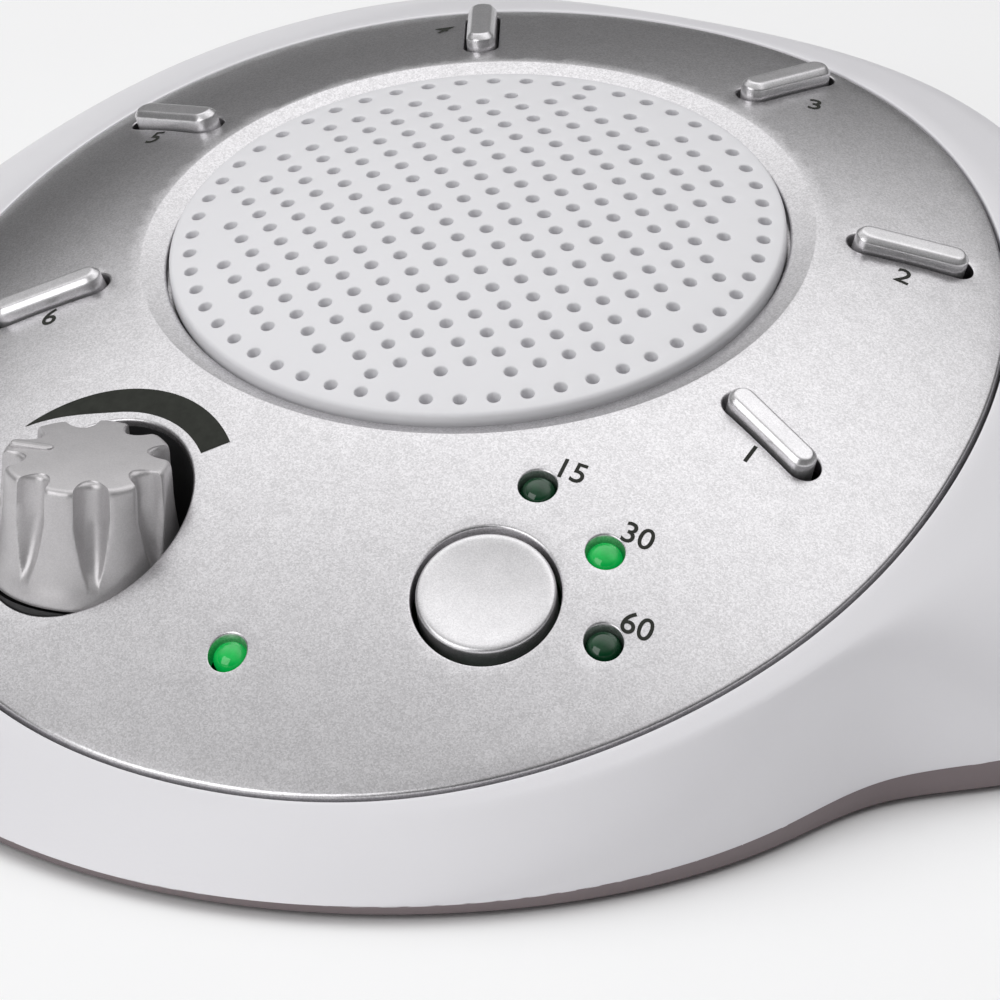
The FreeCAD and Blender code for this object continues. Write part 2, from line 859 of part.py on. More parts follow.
cone = turned_body("speaker_cone", [
    ("0", "-3.0"),
    ("4.5", "-4.6"),
    ("%(neck)s - 2.4" % SPEAKER, "-4.4"),
    ("21.5", "0.2"),
    ("23.2", "1.6"),
    ("%(bore)s - 0.2" % SPEAKER, "%(flange)s - 0.1" % SPEAKER),
    ("%(bore)s - 0.2" % SPEAKER, "%(flange)s + 0.4" % SPEAKER),
    ("23.2", "2.3"),
    ("21.2", "1.0"),
    ("%(neck)s - 2.4" % SPEAKER, "-3.7"),
    ("4.5", "-3.9"),
    ("0", "-2.3"),
])
node(cone, "speaker_cone", speaker_frame_place)

magnet = turned_body("speaker_magnet", [
    ("0", "-(%(deep)s)" % SPEAKER),
    ("Sizes.magnet_radius", "-(%(deep)s)" % SPEAKER),
    ("Sizes.magnet_radius", "-(%(deep)s) - Sizes.magnet_thick" % SPEAKER),
    ("0", "-(%(deep)s) - Sizes.magnet_thick" % SPEAKER),
])
node(magnet, "speaker_magnet", speaker_frame_place)


# Buttons
def bar_between(length, width, x, y, turn, low, high):
    """A bar that lies along the slope, between two levels from the surface."""
    wire = placed_wire(stadium(length, width), tilted_place(x, y, low, turn))
    return Part.Face(wire).extrude(Vector(0, 0, high - low))


def bevelled_top(length, width, x, y, turn, low, high):
    bevel = size("bar_bevel")
    wires = [
        placed_wire(stadium(length, width), tilted_place(x, y, low, turn)),
        placed_wire(stadium(length - 2 * bevel, width - 2 * bevel), tilted_place(x, y, high, turn)),
    ]
    return Part.makeLoft(wires, True, True)


def switch_top():
    """Level of the switch plungers in the plate's frame."""
    return size("board_level") + size("switch_tall") + size("plunger_rise")


def make_sound_button(angle):
    x, y = ring_point(size("slot_ring"), angle)
    length = size("slot_length") - 2 * size("bar_gap")
    width = size("slot_width") - 2 * size("bar_gap")
    under = size("plate_thick") / crown_normal(x, y).z + size("button_play")
    flange_low = under + 1.0
    proud = size("bar_proud")
    bevel = size("bar_bevel")
    bar = bar_between(length, width, x, y, angle, -flange_low, proud - bevel)
    top = bevelled_top(length, width, x, y, angle, proud - bevel, proud)
    # The flange reaches under the plate at the sides and at the inner end only
    grow = size("flange_grow") + size("bar_gap")
    in_x, in_y = ring_point(size("slot_ring") - grow / 2, angle)
    sink = crown(x, y) - crown(in_x, in_y)
    flange = bar_between(
        length + grow, width + 2 * grow, in_x, in_y, angle, sink - flange_low, sink - under)
    stem_x, stem_y = ring_point(size("slot_ring") - size("stem_inset"), angle)
    foot = switch_top() + size("button_travel") + 0.1
    stem_high = crown(stem_x, stem_y) - under
    stem = Part.makeCylinder(size("stem_radius"), stem_high - foot, Vector(stem_x, stem_y, foot))
    return fused([bar, top, flange, stem])


for i, angle in enumerate(sound_angles()):
    solid_feature("sound_button_%d" % (i + 1), make_sound_button(angle), plate_frame)


def slope_disc(radius, x, y, low, high):
    """An upright round post with its ends along the slope."""
    edge = Part.makeCircle(radius)
    wire = Part.Wire([edge])
    wire = placed_wire(wire, Placement(Vector(x, y, -60), Rotation()))
    post = Part.Face(wire).extrude(Vector(0, 0, 80))
    side = 60
    place = tilted_place(x, y, low)
    block = Part.makeBox(side, side, side, Vector(-side / 2, -side / 2, 0))
    block.Placement = place
    lid = Part.makeBox(side, side, side, Vector(-side / 2, -side / 2, 0))
    lid.Placement = tilted_place(x, y, high)
    return post.common(block).cut(lid)


def make_timer_button():
    x = size("timer_x")
    y = size("timer_y")
    under = size("plate_thick") / crown_normal(x, y).z + size("button_play") + 0.2
    radius = size("timer_radius")
    cap = slope_disc(radius, x, y, -under - 1, -size("timer_sink"))
    flange = slope_disc(radius + 1.9, x, y, -under - 1, -under)
    foot = switch_top() + size("button_travel") + 0.1
    stem = Part.makeCylinder(size("stem_radius") + 0.6, crown(x, y) - under - foot, Vector(x, y, foot))
    dish_ball = radius ** 2 / (2 * size("timer_dish"))
    centre = Vector(x, y, crown(x, y) - size("timer_sink"))
    centre += crown_normal(x, y) * (dish_ball - size("timer_dish"))
    return fused([cap, flange, stem]).cut(Part.makeSphere(dish_ball, centre))


solid_feature("timer_button", make_timer_button(), plate_frame)

# Lamps: a round lens on a foot, with two leads down to the board
lamp = turned_body("lamp", [
    ("0", "Sizes.lamp_height"),
    ("Sizes.lamp_radius * 0.5", "Sizes.lamp_height - Sizes.lamp_radius * 0.14"),
    ("Sizes.lamp_radius * 0.87", "Sizes.lamp_height - Sizes.lamp_radius * 0.5"),
    ("Sizes.lamp_radius", "Sizes.lamp_height - Sizes.lamp_radius"),
    ("Sizes.lamp_radius", "1.0"),
    ("Sizes.lamp_radius + 0.35", "1.0"),
    ("Sizes.lamp_radius + 0.35", "0"),
    ("0", "0"),
])

for name, (x, y) in zip(("timer_lamp_15", "timer_lamp_30", "timer_lamp_60", "power_lamp"), lamp_places()):
    foot = crown(x, y) - size("lamp_sink") - size("lamp_height")
    shape = lamp.Shape.copy()
    shape.Placement = Placement(Vector(x, y, foot), Rotation())
    leads = []
    for side in (-1, 1):
        corner = Vector(x + side * 1.27 - 0.25, y - 0.25, size("board_level"))
        leads.append(Part.makeBox(0.5, 0.5, foot - size("board_level") + 0.2, corner))
    solid_feature(name, fused([shape] + leads), plate_frame)

# Volume knob: turned skirt, twelve flutes and a pointer on top
knob = turned_body("volume_knob", [
    ("Sizes.shaft_radius + Sizes.shaft_gap", "Sizes.nut_thick + 1.4"),
    ("Sizes.shaft_radius + 1.8", "Sizes.nut_thick + 1.4"),
    ("Sizes.shaft_radius + 1.8", "Sizes.knob_tall - Sizes.knob_roof"),
    ("Sizes.knob_top - Sizes.knob_wall - 0.6", "Sizes.knob_tall - Sizes.knob_roof"),
    ("Sizes.knob_base - Sizes.knob_wall", "0"),
    ("Sizes.knob_base", "0"),
    ("Sizes.knob_base - 0.25", "1.2"),
    ("Sizes.knob_top + 0.75", "3.2"),
    ("Sizes.knob_top + 0.35", "6.0"),
    ("Sizes.knob_top", "Sizes.knob_tall - 0.5"),
    ("Sizes.knob_top - 0.5", "Sizes.knob_tall"),
    ("0", "Sizes.knob_tall + 0.35"),
    ("0", "Sizes.shaft_tall + 0.05"),
    ("Sizes.shaft_radius + Sizes.shaft_gap", "Sizes.shaft_tall + 0.05"),
])
flute_outline = circle_sketch(knob, "flute_outline", [
    (
        "(Sizes.knob_top - Sizes.flute_radius * 0.1) * cos(180 / Sizes.flute_count)",
        "(Sizes.knob_top - Sizes.flute_radius * 0.1) * sin(180 / Sizes.flute_count)",
        "Sizes.flute_radius",
    ),
])
flute_outline.AttachmentOffset = Placement(Vector(0, 0, size("flute_floor")), Rotation())
flute = knob.newObject("PartDesign::Pocket", "flute")
flute.Profile = flute_outline
flute.Reversed = True
flute.setExpression("Length", "Sizes.knob_tall")
doc.recompute()
flutes = knob.newObject("PartDesign::PolarPattern", "flutes")
flutes.Originals = [flute]
flutes.Axis = (flute_outline, ["N_Axis"])
flutes.Angle = FULL_TURN
flutes.setExpression("Occurrences", "Sizes.flute_count")
knob.Tip = flutes
doc.recompute()
pointer_outline = corner_sketch(knob, "pointer_outline", "XY_Plane", [
    ("Sizes.knob_top - 0.8 - Sizes.pointer_length", "-Sizes.pointer_width / 2"),
    ("Sizes.knob_top - 0.8", "-Sizes.pointer_width / 2"),
    ("Sizes.knob_top - 0.8", "Sizes.pointer_width / 2"),
    ("Sizes.knob_top - 0.8 - Sizes.pointer_length", "Sizes.pointer_width / 2"),
])
pointer_outline.AttachmentOffset = Placement(Vector(0, 0, size("knob_tall") - 0.6), Rotation())
pointer = knob.newObject("PartDesign::Pad", "pointer")
pointer.Profile = pointer_outline
pointer.setExpression("Length", "Sizes.pointer_rise + 0.6")
doc.recompute()

knob_axis = plate_frame.multVec(knob_point(0))
cup_floor_level = knob_axis.z - size("cup_depth")


def on_knob_axis(level, turn=0.0):
    return Placement(Vector(knob_axis.x, knob_axis.y, level), Rotation(UP, turn))


node(knob, "volume_knob", on_knob_axis(cup_floor_level + size("knob_lift"), size("pointer_angle")))

pot_top = cup_floor_level - size("cup_floor")
can = turned_body("volume_pot", [
    ("0", "-Sizes.pot_thick"),
    ("Sizes.pot_radius", "-Sizes.pot_thick"),
    ("Sizes.pot_radius", "0"),
    ("Sizes.bush_radius", "0"),
    ("Sizes.bush_radius", "Sizes.cup_floor + Sizes.nut_thick + 0.6"),
    ("Sizes.shaft_radius + Sizes.shaft_gap", "Sizes.cup_floor + Sizes.nut_thick + 0.6"),
    ("Sizes.shaft_radius + Sizes.shaft_gap", "-2"),
    ("0", "-2"),
])
node(can, "volume_pot", on_knob_axis(pot_top))

shaft = turned_body("pot_shaft", [
    ("0", "-1.95"),
    ("Sizes.shaft_radius", "-1.95"),
    ("Sizes.shaft_radius", "Sizes.cup_floor + Sizes.knob_lift + Sizes.shaft_tall"),
    ("0", "Sizes.cup_floor + Sizes.knob_lift + Sizes.shaft_tall"),
])
node(shaft, "pot_shaft", on_knob_axis(pot_top))

nut = doc.addObject("PartDesign::Body", "pot_nut")
nut_outline = nut.newObject("Sketcher::SketchObject", "nut_outline")
nut_outline.AttachmentSupport = [(plane_of(nut, "XY_Plane"), "")]
nut_outline.MapMode = "FlatFace"
hexagon = [ring_point(size("nut_radius"), 60 * i) for i in range(6)]
for i in range(6):
    start = Vector(hexagon[i][0], hexagon[i][1], 0)
    end = Vector(hexagon[(i + 1) % 6][0], hexagon[(i + 1) % 6][1], 0)
    nut_outline.addGeometry(Part.LineSegment(start, end))
for i in range(6):
    nut_outline.addConstraint(Sketcher.Constraint("Coincident", i, 2, (i + 1) % 6, 1))
nut_outline.addGeometry(Part.Circle(Vector(0, 0, 0), UP, size("bush_radius") + 0.02))
nut_pad = nut.newObject("PartDesign::Pad", "nut_pad")
nut_pad.Profile = nut_outline
nut_pad.setExpression("Length", "Sizes.nut_thick")
doc.recompute()
node(nut, "pot_nut", on_knob_axis(cup_floor_level))


# Control board, its switches and the parts on it
def make_board():
    top = size("board_level")
    thick = size("board_thick")
    board = oval_prism(-size("board_inset"), top - thick, top)
    board = board.cut(Part.makeCylinder(size("board_bore"), 9, Vector(0, 0, top - 5)))
    clear = size("cup_radius") + size("cup_wall") + size("board_cup_gap")
    drop = (crown(size("knob_x"), size("knob_y")) - top) / math.cos(lean)
    axis_point = knob_point(-drop - 8)
    cuts = [Part.makeCylinder(clear, 16, axis_point, upright)]
    for x, y in BOARD_SCREWS:
        hole = size("screw_radius") + size("screw_gap")
        cuts.append(Part.makeCylinder(hole, 9, Vector(x, y, top - 5)))
    return board.cut(cuts)


solid_feature("control_board", make_board(), plate_frame)

half_switch = "Sizes.switch_side / 2"
switch = padded_body("switch", [
    ("-" + half_switch, "-" + half_switch),
    (half_switch, "-" + half_switch),
    (half_switch, half_switch),
    ("-" + half_switch, half_switch),
], "Sizes.switch_tall")
plunger_outline = circle_sketch(switch, "plunger_outline", [("0", "0", "Sizes.plunger_radius")])
plunger = switch.newObject("PartDesign::Pad", "plunger")
plunger.Profile = plunger_outline
plunger.setExpression("Length", "Sizes.switch_tall + Sizes.plunger_rise")
doc.recompute()
switch_places = []
for angle in sound_angles():
    x, y = ring_point(size("slot_ring") - size("stem_inset"), angle)
    place = Placement(Vector(x, y, size("board_level")), Rotation(UP, angle))
    switch_places.append(plate_frame.multiply(place))
timer_seat = Vector(size("timer_x"), size("timer_y"), size("board_level"))
switch_places.append(plate_frame.multiply(Placement(timer_seat, Rotation())))
copies("tact_switches", switch, switch_places)

CHIPS = [(41.5, -33.0, 7.0, 9.0, 1.6), (-41.0, -28.0, 5.0, 6.0, 1.6), (-3.0, -47.5, 8.0, 5.0, 1.6)]
chips = []
for x, y, width, depth, tall in CHIPS:
    corner = Vector(x - width / 2, y - depth / 2, size("board_level") - size("board_thick") - tall)
    chips.append(Part.makeBox(width, depth, tall, corner))
solid_feature("board_chips", Part.makeCompound(chips), plate_frame)

# Screws: a pan head below a plain shank
screw = turned_body("screw", [
    ("0", "-Sizes.head_tall"),
    ("Sizes.head_radius * 0.8", "-Sizes.head_tall"),
    ("Sizes.head_radius", "-Sizes.head_tall * 0.6"),
    ("Sizes.head_radius", "0"),
    ("Sizes.screw_radius", "0"),
    ("Sizes.screw_radius", "6.5"),
    ("0", "7.2"),
])
board_screw_places = []
for x, y in BOARD_SCREWS:
    low = size("board_level") - size("board_thick")
    board_screw_places.append(plate_frame.multiply(Placement(Vector(x, y, low), Rotation())))
copies("board_screws", screw, board_screw_places)
head_seat = size("base_bottom") + size("head_tall") - 0.4
cover_screw_places = [Placement(Vector(x, y, head_seat), Rotation()) for x, y in HOUSING_SCREWS]
cover_screw = turned_body("cover_screw", [
    ("0", "0.4 - Sizes.head_tall"),
    ("Sizes.head_radius", "0.4 - Sizes.head_tall"),
    ("Sizes.head_radius", "0"),
    ("Sizes.screw_radius", "0"),
    ("Sizes.screw_radius", "8"),
    ("0", "8.6"),
])
copies("housing_screws", cover_screw, cover_screw_places)


# Battery door, hooked at the front, and the contacts in the bay
def door_half():
    return size("cell_count") * size("cell_radius") + size("bay_side") + size("door_lap") - size("door_gap")


def make_door():
    low = size("base_bottom")
    thick = size("door_thick")
    start = size("bay_front") + size("door_gap")
    end = size("bay_front") + size("cell_length") + 2 * size("bay_end") + size("door_lap") - size("door_gap")
    half = door_half()
    plate = Part.makeBox(2 * half, end - start, thick, Vector(-half, start, low))
    parts = [plate]
    for x in (-18, 0, 18):
        rib = Part.makeBox(1.2, end - start - 12, 1.0, Vector(x - 0.6, start + 3, low + thick))
        parts.append(rib)
    door = fused(parts)
    grips = []
    for i in range(4):
        y = end - 6 - 2.4 * i
        grips.append(Part.makeBox(16, 0.9, 0.5, Vector(-8, y, low)))
    return door.cut(grips)


solid_feature("battery_door", make_door())


def cell_centres():
    radius = size("cell_radius")
    count = int(size("cell_count"))
    return [(2 * i - count + 1) * radius for i in range(count)]


def make_contacts():
    plates = []
    radius = size("cell_radius") - 1.2
    thick = size("contact_thick")
    level = floor_top() + size("cell_radius") + 0.4
    back = size("bay_front") + size("cell_length") + 2 * size("bay_end")
    for x in cell_centres():
        for y in (size("bay_front"), back - thick):
            plates.append(Part.makeBox(2 * radius, thick, 2 * radius - 1, Vector(x - radius, y, level - radius)))
    return Part.makeCompound(plates)


def helix_place(turns, radius, pitch):
    """A point of a helix about the Z axis and its direction there."""
    angle = 2 * math.pi * turns
    point = Vector(radius * math.cos(angle), radius * math.sin(angle), pitch * turns)
    along = Vector(-radius * math.sin(angle), radius * math.cos(angle), pitch / (2 * math.pi))
    return point, along.normalize()


def tangent_arc(start, corner, end):
    """The arc from start to end whose end directions meet at corner."""
    middle = (start + end) * 0.5
    half = (end - start).Length / 2
    side = (corner - start).Length
    sagitta = half * math.sqrt(1 - (half / side) ** 2) / (1 + half / side)
    crest = middle + (corner - middle).normalize() * sagitta
    return Part.Arc(start, crest, end).toShape()


def smooth_pair(start, start_along, end, end_along):
    """Two arcs that leave start and reach end in the given directions."""
    chord = end - start
    lean_on = chord.dot(start_along + end_along)
    turn = 2 * (1 - start_along.dot(end_along))
    side = (math.sqrt(lean_on ** 2 + turn * chord.dot(chord)) - lean_on) / turn
    first = start + start_along * side
    second = end - end_along * side
    joint = (first + second) * 0.5
    return [tangent_arc(start, first, joint), tangent_arc(joint, second, end)]


def spring_coil():
    """Turns of round wire, rising along Z from the wire's middle."""
    radius = size("spring_radius")
    pitch = size("spring_pitch")
    steps = int(4 * size("spring_turns"))
    arcs = []
    for i in range(steps):
        start, start_along = helix_place(i / 4, radius, pitch)
        end, end_along = helix_place((i + 1) / 4, radius, pitch)
        arcs += smooth_pair(start, start_along, end, end_along)
    start, along = helix_place(0, radius, pitch)
    section = Part.Wire([Part.makeCircle(size("spring_wire"), start, along)])
    return Part.Wire(arcs).makePipeShell([section], True, False)


def make_springs():
    """A spring at the minus end of each cell."""
    springs = []
    level = floor_top() + size("cell_radius") + 0.4
    back = size("bay_front") + size("cell_length") + 2 * size("bay_end")
    coil = spring_coil()
    lift = size("contact_thick") + size("spring_wire") + 0.02
    for i, x in enumerate(cell_centres()):
        spring = coil.copy()
        if i % 2:
            start = back - lift
            turn = Rotation(Vector(1, 0, 0), 90)
        else:
            start = size("bay_front") + lift
            turn = Rotation(Vector(1, 0, 0), -90)
        spring.Placement = Placement(Vector(x, start, level), turn)
        springs.append(spring)
    return Part.makeCompound(springs)


solid_feature("battery_contacts", make_contacts())
solid_feature("battery_springs", make_springs())

# Feet and the power inlet
foot = turned_body("foot", [
    ("0", "0"),
    ("Sizes.foot_radius - 0.5", "0"),
    ("Sizes.foot_radius", "0.5"),
    ("Sizes.foot_radius", "Sizes.foot_thick"),
    ("0", "Sizes.foot_thick"),
])
copies("rubber_feet", foot, [Placement(Vector(x, y, 0), Rotation()) for x, y in FOOT_PLACES])


def make_jack():
    mouth = jack_place()
    half = size("jack_width") / 2
    depth = size("jack_depth")
    body = Part.makeBox(2 * half, depth, 2 * half, Vector(mouth.x - half, mouth.y - depth - 0.4, mouth.z - half))
    nose = Part.makeCylinder(size("jack_nose"), 2.6, mouth - Vector(0, 0.6, 0), Vector(0, 1, 0))
    bore = Part.makeCylinder(size("jack_bore"), depth, mouth - Vector(0, depth - 2.5, 0), Vector(0, 1, 0))
    pin = Part.makeCylinder(size("jack_pin"), depth - 2, mouth - Vector(0, depth - 2.3, 0), Vector(0, 1, 0))
    return fused([fused([body, nose]).cut(bore), pin])


solid_feature("power_inlet", make_jack())

doc.recompute()
os.makedirs("parts", exist_ok=True)
for obj in nodes:
    if {"Invalid", "Error"} & set(obj.State):
        raise RuntimeError("%s failed: %s" % (obj.Label, obj.State))
    if obj.Shape.isNull() or not obj.Shape.isValid():
        raise RuntimeError("%s has a bad shape" % obj.Label)
for obj in nodes:
    obj.Shape.exportStep("parts/%s.step" % obj.Label)
    print(obj.Label, len(obj.Shape.Solids), round(obj.Shape.Volume, 1))
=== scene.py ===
import math

import bmesh
import bpy
import numpy as np
from mathutils import Matrix, Vector
from mathutils.geometry import delaunay_2d_cdt


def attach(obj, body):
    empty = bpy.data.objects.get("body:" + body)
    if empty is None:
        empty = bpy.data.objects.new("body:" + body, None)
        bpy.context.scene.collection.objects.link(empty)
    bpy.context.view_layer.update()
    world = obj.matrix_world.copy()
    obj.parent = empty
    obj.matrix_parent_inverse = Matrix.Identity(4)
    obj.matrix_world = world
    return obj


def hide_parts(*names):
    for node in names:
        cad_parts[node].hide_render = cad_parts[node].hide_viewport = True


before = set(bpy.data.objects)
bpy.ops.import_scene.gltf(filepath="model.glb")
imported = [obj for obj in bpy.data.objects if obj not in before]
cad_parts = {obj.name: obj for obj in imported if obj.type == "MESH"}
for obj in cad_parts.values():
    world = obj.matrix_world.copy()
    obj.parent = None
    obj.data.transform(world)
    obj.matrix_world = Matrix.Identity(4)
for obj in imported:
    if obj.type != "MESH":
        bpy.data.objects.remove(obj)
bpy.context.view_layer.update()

MM = 0.001
TAU = 2 * math.pi

# Plate frame: its origin is the grille's top, and its axis leans to the front
LEAN = math.radians(9.0)
APEX = Vector((0, 8.5, 42.0))
TO_OBJECT = Matrix.Translation(APEX) @ Matrix.Rotation(LEAN, 4, "X")
UPRIGHT = Vector((0, math.sin(LEAN), math.cos(LEAN)))

# Plate outline, a superellipse, and how far its crowned surface drops at the edges
PLATE_HALF_WIDTH = 56.9
PLATE_HALF_DEPTH = 62.8
PLATE_CENTRE = -11.2
PLATE_POWER = 2.12
PLATE_POINTS = 240
PLATE_WALL = 2.2
SIDE_DROP = 12.67
SIDE_BEND = 0.255
FRONT_DROP = 21.6
BACK_DROP = 8.4
DOME_RADIUS = 152.0

# Meshing, in metres where vertices are joined, and the row pitch of a triangular grid
WELD_GAP = 2e-6
SHORT_EDGE = 1e-7
ROW_PITCH = 0.866


# Materials
def set_input(shader, name, value):
    shader.inputs[name].default_value = value


def new_material(name, colour, roughness=0.4, metallic=0.0, coat=0.0, specular=0.5):
    material = bpy.data.materials.new(name)
    material.use_nodes = True
    tree = material.node_tree
    shader = tree.nodes["Principled BSDF"]
    set_input(shader, "Base Color", (*colour, 1))
    set_input(shader, "Roughness", roughness)
    set_input(shader, "Metallic", metallic)
    set_input(shader, "Coat Weight", coat)
    set_input(shader, "Specular IOR Level", specular)
    return material, tree, shader


def object_coords(tree):
    return tree.nodes.new("ShaderNodeTexCoord").outputs["Object"]


def noise(tree, coords, scale, detail=4.0, roughness=0.55):
    texture = tree.nodes.new("ShaderNodeTexNoise")
    texture.inputs["Scale"].default_value = scale
    texture.inputs["Detail"].default_value = detail
    texture.inputs["Roughness"].default_value = roughness
    tree.links.new(coords, texture.inputs["Vector"])
    return texture.outputs["Fac"]


def ramp(tree, factor, stops):
    node = tree.nodes.new("ShaderNodeValToRGB")
    node.color_ramp.elements[0].position = stops[0][0]
    node.color_ramp.elements[0].color = (*stops[0][1], 1)
    node.color_ramp.elements[1].position = stops[-1][0]
    node.color_ramp.elements[1].color = (*stops[-1][1], 1)
    for position, colour in stops[1:-1]:
        element = node.color_ramp.elements.new(position)
        element.color = (*colour, 1)
    tree.links.new(factor, node.inputs["Fac"])
    return node.outputs["Color"]


def bump(tree, shader, height, strength, distance):
    node = tree.nodes.new("ShaderNodeBump")
    node.inputs["Strength"].default_value = strength
    node.inputs["Distance"].default_value = distance
    tree.links.new(height, node.inputs["Height"])
    tree.links.new(node.outputs["Normal"], shader.inputs["Normal"])


def shade_of(colour, factor):
    return tuple(channel * factor for channel in colour)


def multiplied(tree, first, second):
    """The product of two colours."""
    mix = tree.nodes.new("ShaderNodeMix")
    mix.data_type = "RGBA"
    mix.blend_type = "MULTIPLY"
    mix.inputs["Factor"].default_value = 1.0
    colour_a, colour_b, product = mix.inputs[6], mix.inputs[7], mix.outputs[2]
    tree.links.new(first, colour_a)
    tree.links.new(second, colour_b)
    return product


def plastic(name, colour, roughness, grain, depth, spread, coat=0.0):
    """Moulded plastic: a slight change of colour, uneven gloss and a fine grain."""
    material, tree, shader = new_material(name, colour, roughness, 0.0, coat)
    coords = object_coords(tree)
    cloud = noise(tree, coords, 45.0, 3.0)
    stops = [(0.3, shade_of(colour, 1 - spread)), (0.7, shade_of(colour, 1 + spread * 0.5))]
    tree.links.new(ramp(tree, cloud, stops), shader.inputs["Base Color"])
    gloss = ramp(tree, noise(tree, coords, 160.0), [
        (0.3, (roughness * 0.9,) * 3), (0.7, (min(1.0, roughness * 1.1),) * 3)])
    tree.links.new(gloss, shader.inputs["Roughness"])
    bump(tree, shader, noise(tree, coords, grain, 2.0), 0.35, depth)
    return material


def metal_paint(name, colour, roughness, metallic, flake_scale, spread):
    """Paint with fine metal flakes: bright and dark specks, and a sparkle in the normal."""
    material, tree, shader = new_material(name, colour, roughness, metallic)
    coords = object_coords(tree)
    flakes = tree.nodes.new("ShaderNodeTexVoronoi")
    flakes.inputs["Scale"].default_value = flake_scale
    tree.links.new(coords, flakes.inputs["Vector"])
    split = tree.nodes.new("ShaderNodeSeparateColor")
    tree.links.new(flakes.outputs["Color"], split.inputs["Color"])
    stops = [
        (0.0, shade_of(colour, 1 - spread)), (0.5, colour), (1.0, shade_of(colour, 1 + spread))]
    specks = ramp(tree, split.outputs["Red"], stops)
    cloud = ramp(tree, noise(tree, coords, 420.0, 5.0), [(0.3, (0.93,) * 3), (0.7, (1.0,) * 3)])
    tree.links.new(multiplied(tree, specks, cloud), shader.inputs["Base Color"])
    bump(tree, shader, noise(tree, coords, flake_scale * 0.8, 2.0), 0.22, 0.00004)
    return material


def ink(name, colour):
    """Screen print: dense, a little uneven at its edge."""
    material, tree, shader = new_material(name, colour, 0.75, 0.0, 0.0, 0.12)
    coords = object_coords(tree)
    stops = [(0.25, shade_of(colour, 0.8)), (0.75, shade_of(colour, 1.15))]
    tree.links.new(ramp(tree, noise(tree, coords, 900.0), stops), shader.inputs["Base Color"])
    bump(tree, shader, noise(tree, coords, 5000.0), 0.2, 0.00002)
    return material


def lens(name, colour, glow, strength):
    """Tinted lamp lens: a thin clear coat over an uneven tint, with a glow; on lit lamps the glow is their
    light, on unlit ones a faint painted glow.
    """
    material, tree, shader = new_material(name, colour, 0.1, 0.0, 0.2)
    coords = object_coords(tree)
    stops = [(0.3, shade_of(colour, 0.7)), (0.7, shade_of(colour, 1.25))]
    tree.links.new(ramp(tree, noise(tree, coords, 700.0), stops), shader.inputs["Base Color"])
    set_input(shader, "Emission Color", (*glow, 1))
    set_input(shader, "Emission Strength", strength)
    return material


def rubbery(name, colour):
    """Matt, uneven and slightly rough, as rubber and pressed paper are."""
    material, tree, shader = new_material(name, colour, 0.8, 0.0, 0.0, 0.3)
    coords = object_coords(tree)
    stops = [(0.3, shade_of(colour, 0.7)), (0.7, shade_of(colour, 1.3))]
    tree.links.new(ramp(tree, noise(tree, coords, 350.0), stops), shader.inputs["Base Color"])
    bump(tree, shader, noise(tree, coords, 2600.0), 0.5, 0.0001)
    return material


def weave(name, colour):
    """Thin woven dust cloth."""
    material, tree, shader = new_material(name, colour, 0.9, 0.0, 0.0, 0.2)
    coords = object_coords(tree)
    bands = []
    for axis in ("X", "Y"):
        wave = tree.nodes.new("ShaderNodeTexWave")
        wave.bands_direction = axis
        wave.inputs["Scale"].default_value = 700.0
        tree.links.new(coords, wave.inputs["Vector"])
        bands.append(wave.outputs["Fac"])
    add = tree.nodes.new("ShaderNodeMath")
    tree.links.new(bands[0], add.inputs[0])
    tree.links.new(bands[1], add.inputs[1])
    stops = [(0.2, shade_of(colour, 0.6)), (0.9, shade_of(colour, 1.2))]
    tree.links.new(ramp(tree, add.outputs[0], stops), shader.inputs["Base Color"])
    bump(tree, shader, add.outputs[0], 0.5, 0.0001)
    return material


def brushed(name, colour, roughness):
    """Bare metal with fine drawn lines."""
    material, tree, shader = new_material(name, colour, roughness, 1.0)
    mapping = tree.nodes.new("ShaderNodeMapping")
    mapping.inputs["Scale"].default_value = (1, 1, 12)
    tree.links.new(object_coords(tree), mapping.inputs["Vector"])
    lines = noise(tree, mapping.outputs["Vector"], 900.0)
    stops = [(0.3, shade_of(colour, 0.82)), (0.7, colour)]
    tree.links.new(ramp(tree, lines, stops), shader.inputs["Base Color"])
    bump(tree, shader, lines, 0.15, 0.00005)
    return material


MATERIALS = {
    "white_shell": plastic("white_shell", (0.80, 0.79, 0.82), 0.34, 2400.0, 0.00003, 0.012, 0.1),
    "silver_paint": metal_paint("silver_paint", (0.60, 0.59, 0.605), 0.3, 0.96, 7000.0, 0.16),
    "silver_button": metal_paint("silver_button", (0.70, 0.69, 0.705), 0.3, 0.82, 9000.0, 0.1),
    "silver_knob": metal_paint("silver_knob", (0.56, 0.545, 0.555), 0.36, 0.55, 9000.0, 0.06),
    "taupe_base": plastic("taupe_base", (0.215, 0.176, 0.183), 0.55, 1800.0, 0.00006, 0.05),
    "white_grille": plastic("white_grille", (0.79, 0.785, 0.81), 0.5, 1500.0, 0.00003, 0.012),
    "dust_cloth": weave("dust_cloth", (0.33, 0.325, 0.335)),
    "steel": brushed("steel", (0.62, 0.61, 0.59), 0.28),
    "paper_cone": rubbery("paper_cone", (0.05, 0.048, 0.045)),
    "magnet": brushed("magnet", (0.20, 0.20, 0.21), 0.45),
    # The unlit lenses' faint green emission is a painted glow: an unlit lamp gives no light.
    "lamp_off": lens("lamp_off", (0.004, 0.045, 0.016), (0.0, 0.06, 0.02), 0.05),
    "lamp_lit": lens("lamp_lit", (0.004, 0.30, 0.05), (0.0, 0.6, 0.1), 0.3),
    "board_green": plastic("board_green", (0.02, 0.12, 0.05), 0.4, 1200.0, 0.00005, 0.2, 0.3),
    "black_plastic": plastic("black_plastic", (0.018, 0.018, 0.019), 0.45, 1800.0, 0.00005, 0.2),
    "rubber": rubbery("rubber", (0.03, 0.03, 0.032)),
    "print": ink("print", (0.034, 0.036, 0.031)),
}


